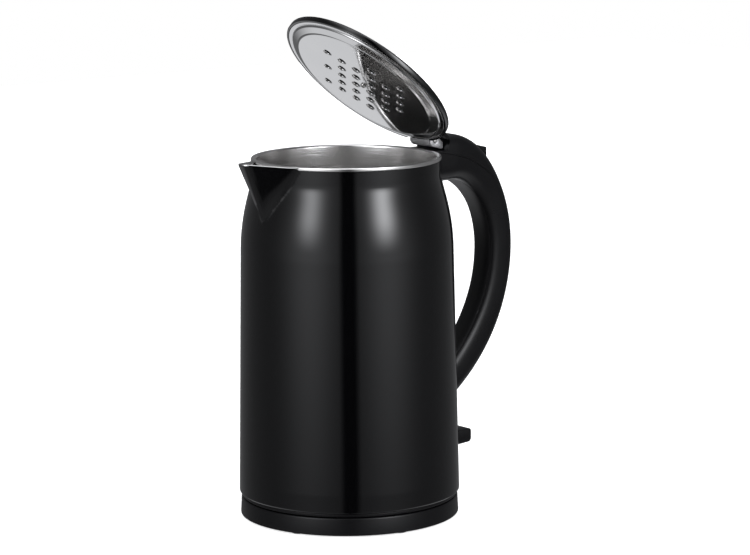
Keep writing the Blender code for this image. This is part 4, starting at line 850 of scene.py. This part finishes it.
# %% Base shell, plate, feet and screws
BASE_TOP = reach("base_top_shell", 2)[1]
BASE_BOTTOM = reach("base_top_shell", 2)[0]
BASE_RADIUS = 0.0750
BASE_TOP_RADIUS = 0.0744
BASE_WALL = 0.0020
deck_under = BASE_TOP - 0.0018
GLAND_HEIGHT = sum(reach("cord_gland", 2)) / 2
base = turned("base", rounded([
    (0.0138, BASE_TOP, 0.0004), (0.0190, BASE_TOP, 0.0002), (0.0194, BASE_TOP - 0.0005, 0.0002),
    (0.0206, BASE_TOP - 0.0005, 0.0002), (0.0210, BASE_TOP, 0.0002), (BASE_TOP_RADIUS, BASE_TOP, 0.0012),
    (BASE_RADIUS, BASE_BOTTOM, 0.0004), (BASE_RADIUS - BASE_WALL, BASE_BOTTOM, 0.0002),
    (BASE_TOP_RADIUS - BASE_WALL, deck_under, 0.0010), (0.0138, deck_under)], 5), 192)
base = combined(base, "DIFFERENCE", rod("gland_hole", (BASE_RADIUS - 0.006, 0, GLAND_HEIGHT),
                                        (BASE_RADIUS + 0.004, 0, GLAND_HEIGHT), 0.0039))
place("base_shell_fine", base, satin_black, "satin_black", "power_base", "base_top_shell")

plate_low, plate_top = reach("base_bottom_plate", 2)
plate_radius = BASE_RADIUS - BASE_WALL - CLEAR
under = turned("under", rounded([(0, plate_top), (plate_radius, plate_top, 0.0003), (plate_radius, plate_low, 0.0004),
                                 (0.0560, plate_low, 0.0002), (0.0556, plate_low + 0.0006, 0.0002),
                                 (0.0300, plate_low + 0.0006, 0.0002), (0.0296, plate_low, 0.0002), (0, plate_low)], 3), 144)
BASE_SCREWS = 0.0400
spots = [Vector((BASE_SCREWS * cos(radians(120 * k)), BASE_SCREWS * sin(radians(120 * k)), plate_low)) for k in range(3)]
under = combined(under, "DIFFERENCE", *[rod("hole", spot - Vector((0, 0, 0.001)), spot + Vector((0, 0, 0.003)), 0.0018)
                                        for spot in spots])
place("base_plate_fine", under, satin_black, "satin_black", "power_base", "base_bottom_plate")

foot = turned("foot", rounded([(0, 0.0009), (0.0048, 0.0009, 0.0001), (0.0048, 0.0, 0.0004), (0.0030, 0.0, 0.0002),
                               (0.0028, 0.0003, 0.0002), (0, 0.0003)], 4), 40)
feet = ring_of(foot, rubber, 6, 0.0675, 22, 0.0)
place("base_feet_fine", feet, rubber, "rubber", "power_base", *[f"base_foot_{k}" for k in range(1, 7)])
base_screws = ring_of(screw_mesh(0.0030, 0.0006, 0.0015, 0.0080), steel_fastener, 3, BASE_SCREWS, 0, BASE_BOTTOM - CLEAR)
place("base_screws_fine", base_screws, steel_fastener, "steel_fastener", "power_base",
      "base_screw_1", "base_screw_2", "base_screw_3")

# %% [markdown]
# ## Connector and cord gland
#
# The base's connector is a moulded post with a round groove for the live ring and a bore for the centre pin. The gland is
# the rubber bush where the cord would leave; its mouth is flared so that a cord would not chafe.

# %% Connector, pin, ring, gland
housing_low = reach("base_connector_housing", 2)[0]
housing = turned("housing", rounded([
    (0.0104, CONNECTOR_TOP, 0.0003), (0.0135, CONNECTOR_TOP, 0.0012), (0.0135, housing_low, 0.0003), (0.0021, housing_low),
    (0.0021, CONNECTOR_TOP, 0.0004), (0.0062, CONNECTOR_TOP, 0.0003), (0.0062, 0.0160), (0.0104, 0.0160)], 4), 96)
place("connector_post_fine", housing, satin_black, "satin_black", "power_base", "base_connector_housing")
pin_top = reach("connector_center_pin", 2)[1]
pin = turned("pin", rounded([(0, pin_top), (0.0018, pin_top, 0.0012), (0.0018, housing_low, 0.0002), (0, housing_low)], 6), 32)
place("connector_pin_fine", pin, brass, "brass", "power_base", "connector_center_pin")
ring_low, ring_top = reach("connector_contact_ring", 2)
contact = turned("contact", rounded([(0.0065, ring_top, 0.0002), (0.0073, ring_top, 0.0003), (0.0073, ring_low, 0.0001),
                                     (0.0065, ring_low, 0.0001)], 4), 72)
place("connector_ring_fine", contact, brass, "brass", "power_base", "connector_contact_ring")

gland_end = reach("cord_gland", 0)[1] - axis_x
gland = turned("gland", rounded([
    (0.0024, gland_end - 0.0010, 0.0004), (0.0031, gland_end, 0.0003), (0.0044, gland_end, 0.0003),
    (0.0044, BASE_RADIUS + CLEAR), (0.0036, BASE_RADIUS + CLEAR), (0.0036, gland_end - 0.0120, 0.0004),
    (0.0024, gland_end - 0.0120, 0.0002)], 4), 48)
gland.transform(Matrix.Translation((0, 0, GLAND_HEIGHT)) @ Matrix.Rotation(radians(90), 4, "Y"))
place("cord_gland_fine", gland, rubber, "rubber", "power_base", "cord_gland")

# %% [markdown]
# ## The handle
#
# The handle is one loop in side view, between an outer and an inner curve. Rounded-square sections are set square to the
# loop and a skin is drawn over them: wide at the hinge, slimmer down the grip. Three pieces share that skin, exactly as
# three mouldings would share one outer form: the shell, the top cover above the seam, and the soft strip inside the grip.

# %% Handle sections
HANDLE_TOP = 0.2560
ROOT_UNDER = 0.2236
HANDLE_REACH = 0.1408
GRIP_INNER = 0.1183
GRIP_HEIGHT = 0.1740
FOOT_OUTER = 0.0640
FOOT_INNER = 0.0800
FINER = 4
HANDLE_SIDES = 72
HANDLE_WALL = 0.0024


def handle_curves():
    top_bend = (0.0880, HANDLE_TOP - 0.0005)
    under_bend = (0.0840, ROOT_UNDER)
    short, long = 4 * FINER, 7 * FINER
    outer = (bezier((0.0560, HANDLE_TOP), (0.0665, HANDLE_TOP), (0.0775, HANDLE_TOP), top_bend, short)
             + bezier(top_bend, (0.1120, HANDLE_TOP - 0.0035), (HANDLE_REACH, 0.2200), (HANDLE_REACH, GRIP_HEIGHT), long)[1:]
             + bezier((HANDLE_REACH, GRIP_HEIGHT), (HANDLE_REACH, 0.1390), (0.1260, 0.0950), (0.0780, FOOT_OUTER), long)[1:])
    inner = (bezier((0.0560, ROOT_UNDER), (0.0655, ROOT_UNDER), (0.0750, ROOT_UNDER), under_bend, short)
             + bezier(under_bend, (0.1000, 0.2230), (GRIP_INNER - 0.0008, 0.2040), (GRIP_INNER, GRIP_HEIGHT), long)[1:]
             + bezier((GRIP_INNER, GRIP_HEIGHT), (GRIP_INNER, 0.1460), (0.1080, 0.1170), (0.0660, FOOT_INNER), long)[1:])
    return outer, inner


def handle_half_width(share):
    if share < 0.18:
        return 0.0175
    if share < 0.5:
        return 0.0175 - 0.0055 * smooth_step(0.18, 0.5, share)
    return 0.0120 - 0.0010 * (share - 0.5) / 0.5


def handle_rings(inset=0.0, sides=HANDLE_SIDES):
    outer, inner = handle_curves()
    rings = []
    for i, (out, inn) in enumerate(zip(outer, inner)):
        share = i / (len(outer) - 1)
        back = Vector((out[0], 0, out[1]))
        front = Vector((inn[0], 0, inn[1]))
        deep = (back - front) / 2
        deep = deep.normalized() * (deep.length - inset)
        wide = Vector((0, handle_half_width(share) - inset, 0))
        power = 2 / (4.5 - 1.4 * min(1.0, share * 2.2))
        ring = []
        for k in range(sides):
            c, s = cos(2 * pi * (k + 0.5) / sides), sin(2 * pi * (k + 0.5) / sides)
            along = abs(c) ** power * (1 if c > 0 else -1)
            across = abs(s) ** power * (1 if s > 0 else -1)
            ring.append((back + front) / 2 + deep * along + wide * across)
        rings.append(ring)
    return rings


def insert_bar(half_width, sink):
    outer, inner = handle_curves()
    rings = []
    for out, inn in list(zip(outer, inner))[4 * FINER:-FINER]:
        back = Vector((out[0], 0, out[1]))
        front = Vector((inn[0], 0, inn[1]))
        way = (back - front).normalized()
        side = Vector((0, half_width, 0))
        outside = front - way * 0.004
        inside = front + way * sink
        rings.append([outside - side, outside + side, inside + side, inside - side])
    return skin("insert_bar", rings)


def body_clearance(gap):
    rim = RIM_RADIUS + gap
    below = [(body_radius(z) + gap, z) for z in [COLLAR_TOP - 0.0015 - k * 0.0022 for k in range(30)]]
    profile = [(0, RIM_TOP + 0.001), (rim, RIM_TOP + 0.001), (rim, COLLAR_TOP - 0.001), *below,
               (BODY_LOW_RADIUS + gap, 0.0176), (BODY_LOW_RADIUS + gap, 0.0), (0, 0.0)]
    return turned("clearance", profile, 128)


def hinge_well(shift=0.0):
    floor_z = RIM_TOP - 0.0012 - shift
    return slab("well", [(0.040, floor_z), (0.0752 + shift, floor_z), (0.0798 + shift, 0.2575), (0.0798 + shift, 0.280),
                         (0.040, 0.280)], 0.040)


def above_seam(shift):
    seam = bezier((0.0500, 0.2455), (0.0930, 0.2455), (0.1120, 0.2310), (0.1330, 0.2120), 32)
    outline = [(x, z - shift) for x, z in seam] + [(0.150, 0.2120 - shift), (0.170, 0.290), (0.050, 0.290)]
    return slab("seam", outline, 0.040)


def hollow(inset):
    return skin("hollow", handle_rings(inset, 40)[3 * FINER:-2 * FINER])


print("handle sections:", len(handle_curves()[0]), "of", HANDLE_SIDES, "points")

# %% Handle shell
SCREW_WAYS = ((0.2360, RIM_RADIUS - 0.004, 0.0860), (0.0745, 0.0708, 0.0800))
handle = combined(skin("handle", handle_rings()), "DIFFERENCE", body_clearance(CLEAR), above_seam(CLEAR / 2), hinge_well(),
                  hollow(HANDLE_WALL), insert_bar(0.0086 + CLEAR, HANDLE_WALL + 0.001),
                  rod("steam_way", (0.0607, 0, STEAM_PORT), (0.0850, 0, STEAM_PORT), 0.0025),
                  *[rod("screw_way", (low, 0, z), (high, 0, z), 0.0014) for z, low, high in SCREW_WAYS])
place("handle_shell_fine", handle, satin_black, "satin_black", "kettle", "handle_shell")

# %% [markdown]
# The top cover carries the window for the release button. Its edge along the seam is what shows on the real handle as a
# fine line, so both pieces keep a real gap between them.

# %% Top cover and grip strip
BUTTON_FRONT = (0.0995, 0.2500)
BUTTON_REAR = (0.1182, 0.2440)
BUTTON_HALF_WIDTH = 0.0075
BUTTON_DEPTH = 0.0105
PLAY = 0.0004
window = [(BUTTON_FRONT[0] - PLAY, BUTTON_FRONT[1] + 0.010), (BUTTON_FRONT[0] - PLAY, BUTTON_FRONT[1] - BUTTON_DEPTH),
          (BUTTON_REAR[0] + 2 * PLAY, BUTTON_REAR[1] - BUTTON_DEPTH - 0.006), (BUTTON_REAR[0] + 2 * PLAY, BUTTON_REAR[1] + 0.010)]
top = combined(skin("top", handle_rings()), "DIFFERENCE", body_clearance(CLEAR), hinge_well(), hollow(HANDLE_WALL))
top = combined(top, "INTERSECT", above_seam(-CLEAR / 2))
top = combined(top, "DIFFERENCE", slab("window", window, BUTTON_HALF_WIDTH + PLAY))
place("handle_top_fine", top, satin_black, "satin_black", "kettle", "handle_top_cover")

grip = combined(skin("grip", handle_rings()), "DIFFERENCE", body_clearance(CLEAR))
grip = combined(grip, "INTERSECT", insert_bar(0.0086, HANDLE_WALL + 0.001 - CLEAR))
grip = combined(grip, "DIFFERENCE", hollow(HANDLE_WALL - CLEAR))
place("handle_grip_fine", grip, soft_black, "soft_black", "kettle", "handle_grip_insert")

# %% [markdown]
# ## Button and switch
#
# The release button is a rocker: its top follows the handle's slope, with a shallow dish for the thumb, and it turns on a
# pin. The switch at the foot is a flat tab whose tip is turned up a little. Both are outlines given a width, then softened
# with a Bevel, which is the quickest way to the rounded edges of a moulding.

# %% Release button
front_x, front_z = BUTTON_FRONT
rear_x, rear_z = BUTTON_REAR
face = [(front_x + (rear_x - front_x) * t, front_z - 0.0004 + (rear_z - front_z + 0.0004) * t - 0.0005 * sin(pi * t))
        for t in [k / 12 for k in range(13)]]
button_side = [*face, (rear_x, rear_z - BUTTON_DEPTH), (rear_x - 0.003, rear_z - BUTTON_DEPTH),
               (front_x + 0.004, front_z - 0.0072), (front_x, front_z - 0.0072)]
button = slab("button", button_side, BUTTON_HALF_WIDTH, soften=0.0009, segments=4)
pivot = joints["release_button_press"]["pos_m"]
pivot_x, pivot_z = pivot[0] - axis_x, pivot[2]
button = combined(button, "DIFFERENCE", rod("bore", (pivot_x, -0.02, pivot_z), (pivot_x, 0.02, pivot_z), 0.0015))
place("release_button_fine", button, satin_black, "satin_black", "release_button", "release_button")

# %% Switch lever
lever_pivot = joints["switch_press"]["pos_m"]
px, pz = lever_pivot[0] - axis_x, lever_pivot[2]
LEVER_TIP = 0.1022
tip = rounded([(LEVER_TIP - 0.0130, LEVER_UNDER), (LEVER_TIP, LEVER_UNDER + 0.0008, 0.0032),
               (LEVER_TIP, LEVER_TOP, 0.0020), (LEVER_TIP - 0.0105, LEVER_TOP)], 6)
lever_side = [(px - 0.0035, pz - 0.0032), (px + 0.006, pz - 0.0042), *tip, (px + 0.016, pz + 0.0046),
              (px - 0.0035, pz + 0.0032)]
lever = slab("lever", lever_side, LEVER_HALF_WIDTH, soften=0.0008, segments=3)
lever = combined(lever, "DIFFERENCE", rod("bore", (px, -0.02, pz), (px, 0.02, pz), 0.0017))
place("switch_lever_fine", lever, satin_black, "satin_black", "switch_lever", "switch_lever")

# %% [markdown]
# ## The hinge
#
# Two cheeks stand on the handle's front and hold the pin; the lid's arm turns between them on its barrel, with the coil
# spring wound inside. The arm and the cheeks are light grey, a coated sheet, so their edges get a small radius.

# %% Hinge cheeks and pin
PIN_X, PIN_Z = hinge.x, hinge.z
BARREL_HALF_WIDTH = 0.0094
CHEEK = 0.0015
eye = arc((PIN_X, PIN_Z), 0.0042, 70, 270, 28)
cheek_side = [*eye, (PIN_X + 0.0052, PIN_Z - 0.0056), (PIN_X + 0.0068, PIN_Z - 0.0056), (PIN_X + 0.0068, PIN_Z - 0.0016)]
inner_cheek = BARREL_HALF_WIDTH + PLAY
cheeks = combined(slab("cheeks", cheek_side, inner_cheek + CHEEK), "DIFFERENCE",
                  block("cheek_gap", (PIN_X - 0.010, -inner_cheek, PIN_Z - 0.010), (PIN_X + 0.0054, inner_cheek, PIN_Z + 0.010)),
                  rod("cheek_bore", (PIN_X, -0.03, PIN_Z), (PIN_X, 0.03, PIN_Z), 0.00155))
place("hinge_cheeks_fine", softened(cheeks, 0.0003, 2), grey_steel, "grey_steel", "kettle", "hinge_bracket")
pin_reach = reach("hinge_pin", 1)[1]
hinge_pin = turned("hinge_pin", rounded([(0, pin_reach), (0.00125, pin_reach, 0.0005), (0.00125, -pin_reach, 0.0005),
                                         (0, -pin_reach)], 5), 32)
hinge_pin.transform(Matrix.Translation((PIN_X, 0, PIN_Z)) @ Matrix.Rotation(radians(90), 4, "X"))
place("hinge_pin_fine", hinge_pin, steel_fastener, "steel_fastener", "kettle", "hinge_pin")

# %% [markdown]
# ## The lid
#
# The lid is built closed about its own centre and then turned open with the hinge. Its cover is a glossy dome with a
# straight band, and a lug at the back that reaches over the hinge barrel.

# %% Lid cover
LID_RADIUS = 0.0640
LID_WALL = 0.0015
LID_BOTTOM = 0.2490
LID_X = PIN_X - 0.0671
LID_TOP = LID_BOTTOM + 0.0044
CROWN = LID_TOP + 0.0060
dome = bezier((0.0, CROWN), (0.030, CROWN), (0.056, LID_TOP + 0.0030), (LID_RADIUS - 0.0012, LID_TOP), 36)
outside = [*dome, *bezier((LID_RADIUS - 0.0012, LID_TOP), (LID_RADIUS - 0.0005, LID_TOP - 0.0002),
                          (LID_RADIUS, LID_TOP - 0.0006), (LID_RADIUS, LID_TOP - 0.0014), 6)[1:],
           (LID_RADIUS, LID_BOTTOM + 0.0005), (LID_RADIUS - 0.00015, LID_BOTTOM + 0.00015), (LID_RADIUS - 0.0005, LID_BOTTOM)]
lid_hollow = [(0, CROWN - LID_WALL), (0.030, CROWN - LID_WALL - 0.0008), (0.050, LID_TOP + 0.0040 - LID_WALL),
              (LID_RADIUS - LID_WALL, LID_TOP - LID_WALL), (LID_RADIUS - LID_WALL, LID_BOTTOM - 0.002), (0, LID_BOTTOM - 0.002)]
lug = rounded([(PIN_X - 0.0200, PIN_Z + 0.0010), (PIN_X - 0.0120, PIN_Z + 0.0062, 0.004), (PIN_X - 0.0050, PIN_Z + 0.0080, 0.003),
               (PIN_X + 0.0042, PIN_Z + 0.0078, 0.0016), (PIN_X + 0.0046, PIN_Z + 0.0052, 0.0008), (PIN_X - 0.0050, PIN_Z + 0.0050),
               (PIN_X - 0.0064, PIN_Z - 0.0004), (PIN_X - 0.0200, PIN_Z - 0.0010)], 5)
lug = slab("lug", lug, 0.0170, soften=0.0007, segments=3)
cover = combined(turned("lid", [*outside, (0, LID_BOTTOM)], 192, (LID_X, 0)), "UNION", lug)
clear_way = BARREL_HALF_WIDTH + PLAY + CHEEK + 0.0014
ARM_UNDER = LID_BOTTOM + 0.0006 + CLEAR
ARM_TOP = ARM_UNDER + 0.0016
room_side = [(PIN_X - 0.0120, LID_BOTTOM - 0.002), (PIN_X + 0.0052, LID_BOTTOM - 0.002),
             *arc((PIN_X, PIN_Z), 0.0043 + 0.0007, -30, 170, 24), (PIN_X - 0.0052, ARM_TOP + CLEAR),
             (PIN_X - 0.0120, ARM_TOP + CLEAR)]
cover = combined(cover, "DIFFERENCE", turned("lid_hollow", lid_hollow, 192, (LID_X, 0)), slab("room", room_side, clear_way))
place("lid_cover_fine", cover, gloss_black, "gloss_black", "lid", "lid_cover", where=open_lid)

# %% [markdown]
# ## The lid's steel pan
#
# The underside of the lid is a pressed steel pan: a flat flange, a broad sloping wall and a floor with rows of dimpled
# holes that let the condensed water drip back. Each hole is a small funnel pressed into the sheet. The node tree sets the
# funnels and the round cutters out on the same points, the cutters open the floor, and the funnels fill the openings.

# %% Pan and its holes
PAN_RADIUS = 0.0592
FLANGE_RADIUS = 0.0622
FLOOR_RADIUS = 0.0532
PAN_DEPTH = 0.0030
PAN_WALL = 0.0006
pan_floor = LID_BOTTOM - PAN_DEPTH
flange_top = LID_BOTTOM + PAN_WALL
DIMPLE = 0.0037
HOLE = 0.0022
HOLE_PITCH = (0.0084, 0.0080)
HOLE_CELLS = ((-4, (1,)), (-3, (0,)), (-2, (-3, -1, 1, 3)), (-1, (-2, 0, 2)), (0, (-5, -3, -1, 1, 3, 5)),
              (1, (-4, -2, 0, 2, 4)), (2, (-3, -1, 1, 3)), (3, (-2, 0, 2)))
pan_side = rounded([(0, pan_floor), (FLOOR_RADIUS - 0.0006, pan_floor, 0.0008), (FLOOR_RADIUS + 0.0004, pan_floor + 0.0007, 0.0004),
                    (PAN_RADIUS - 0.0006, LID_BOTTOM - 0.0009, 0.0006), (PAN_RADIUS, LID_BOTTOM + 0.0002, 0.0004),
                    (PAN_RADIUS + 0.0006, LID_BOTTOM + 0.0002, 0.0002), (PAN_RADIUS + 0.0010, LID_BOTTOM, 0.0003),
                    (FLANGE_RADIUS, LID_BOTTOM, 0.0003), (FLANGE_RADIUS, flange_top, 0.0002), (PAN_RADIUS - 0.0004, flange_top, 0.0003),
                    (FLOOR_RADIUS + 0.0001, pan_floor + PAN_WALL + 0.0007, 0.0003), (FLOOR_RADIUS - 0.0006, pan_floor + PAN_WALL, 0.0004),
                    (0, pan_floor + PAN_WALL)], 5)
spots = [(LID_X + column * HOLE_PITCH[0], row * HOLE_PITCH[1], pan_floor) for column, rows in HOLE_CELLS for row in rows]
cutters = copies_at(spots, rod("cutter", (0, 0, -0.002), (0, 0, 0.003), DIMPLE, 32), polished_steel)
pan = combined(turned("pan", pan_side, 192, (LID_X, 0)), "DIFFERENCE", cutters,
               rod("screw_hole", (LID_X, 0, pan_floor - 0.002), (LID_X, 0, pan_floor + 0.002), 0.0013))
funnel = turned("funnel", [
    (HOLE, 0.0011), *bezier((HOLE, 0.0008), (HOLE + 0.0001, 0.0003), (DIMPLE - 0.0004, 0.0), (DIMPLE, 0.0), 6),
    (DIMPLE + 0.00005, PAN_WALL), *bezier((DIMPLE - 0.0001, PAN_WALL), (HOLE + 0.0007, PAN_WALL),
                                          (HOLE + 0.0004, 0.0008), (HOLE + 0.0004, 0.0011), 3)], 32)
funnels = copies_at(spots, funnel, polished_steel)
place("lid_pan_fine", pan, polished_steel, "brushed_steel", "lid", "lid_pan", where=open_lid)
place("lid_pan_holes_fine", funnels, polished_steel, "brushed_steel", "lid", where=open_lid, sharp=60)
print("pan holes:", len(spots))

# %% [markdown]
# ## The lid's arm and screws
#
# The arm is one sheet: a tongue under the lid, curled at its end into the barrel on the pin. The screws are the same
# pan-head shape as under the body, only smaller.

# %% Arm and screws
barrel = turned("barrel", rounded([
    (0.00155, BARREL_HALF_WIDTH, 0.0003), (0.0043, BARREL_HALF_WIDTH, 0.0006), (0.0043, -BARREL_HALF_WIDTH, 0.0006),
    (0.00155, -BARREL_HALF_WIDTH, 0.0003), (0.00155, -BARREL_HALF_WIDTH + 0.0020), (0.0031, -BARREL_HALF_WIDTH + 0.0020),
    (0.0031, BARREL_HALF_WIDTH - 0.0020), (0.00155, BARREL_HALF_WIDTH - 0.0020)], 4), 64)
barrel.transform(Matrix.Translation((PIN_X, 0, PIN_Z)) @ Matrix.Rotation(radians(90), 4, "X"))
tongue = softened(block("tongue", (PIN_X - 0.0260, -0.0090, ARM_UNDER), (PIN_X - 0.0035, 0.0090, ARM_TOP)), 0.0004, 3)
arm_screws = [(PIN_X - 0.0210, side * 0.005) for side in (-1, 1)]
arm = combined(combined(barrel, "UNION", tongue), "DIFFERENCE",
               *[rod("hole", (*at, ARM_UNDER - 0.001), (*at, ARM_TOP + 0.001), 0.0013) for at in arm_screws])
place("lid_arm_fine", arm, grey_steel, "grey_steel", "lid", "lid_hinge_arm", where=open_lid)

centre = screw_mesh(0.0020, 0.0012, 0.0010, ARM_TOP - pan_floor)
centre.transform(Matrix.Translation((LID_X, 0, pan_floor - CLEAR)))
place("lid_center_screw_fine", centre, steel_fastener, "steel_fastener", "lid", "lid_center_screw", where=open_lid)

# %% [markdown]
# ## Pieces that keep their frame shape
#
# Inside the kettle sit the heater, the controls, the springs and the small pins. Their frame shapes are right, so they
# stay, and only their finish is made: each gets the same procedural finish as the pieces around it.

# %% Finishes on the pieces that stay
finishes = {"gloss_black": gloss_black, "satin_black": satin_black, "soft_black": soft_black, "rubber": rubber,
            "brushed_steel": brushed_steel, "steel_fastener": steel_fastener, "grey_steel": grey_steel,
            "aluminium": aluminium, "brass": brass, "white_plastic": white_plastic}
slot_of = {part["node"]: part["material_slot"] for part in frame["record"]["subparts"]}
kept = 0
for name, node in frame["nodes"].items():
    look = finishes[slot_of[name]]
    for slot_used in node.material_slots:
        slot_used.material = look
    kept += not node.hide_render
print("frame pieces that stay in view:", kept)
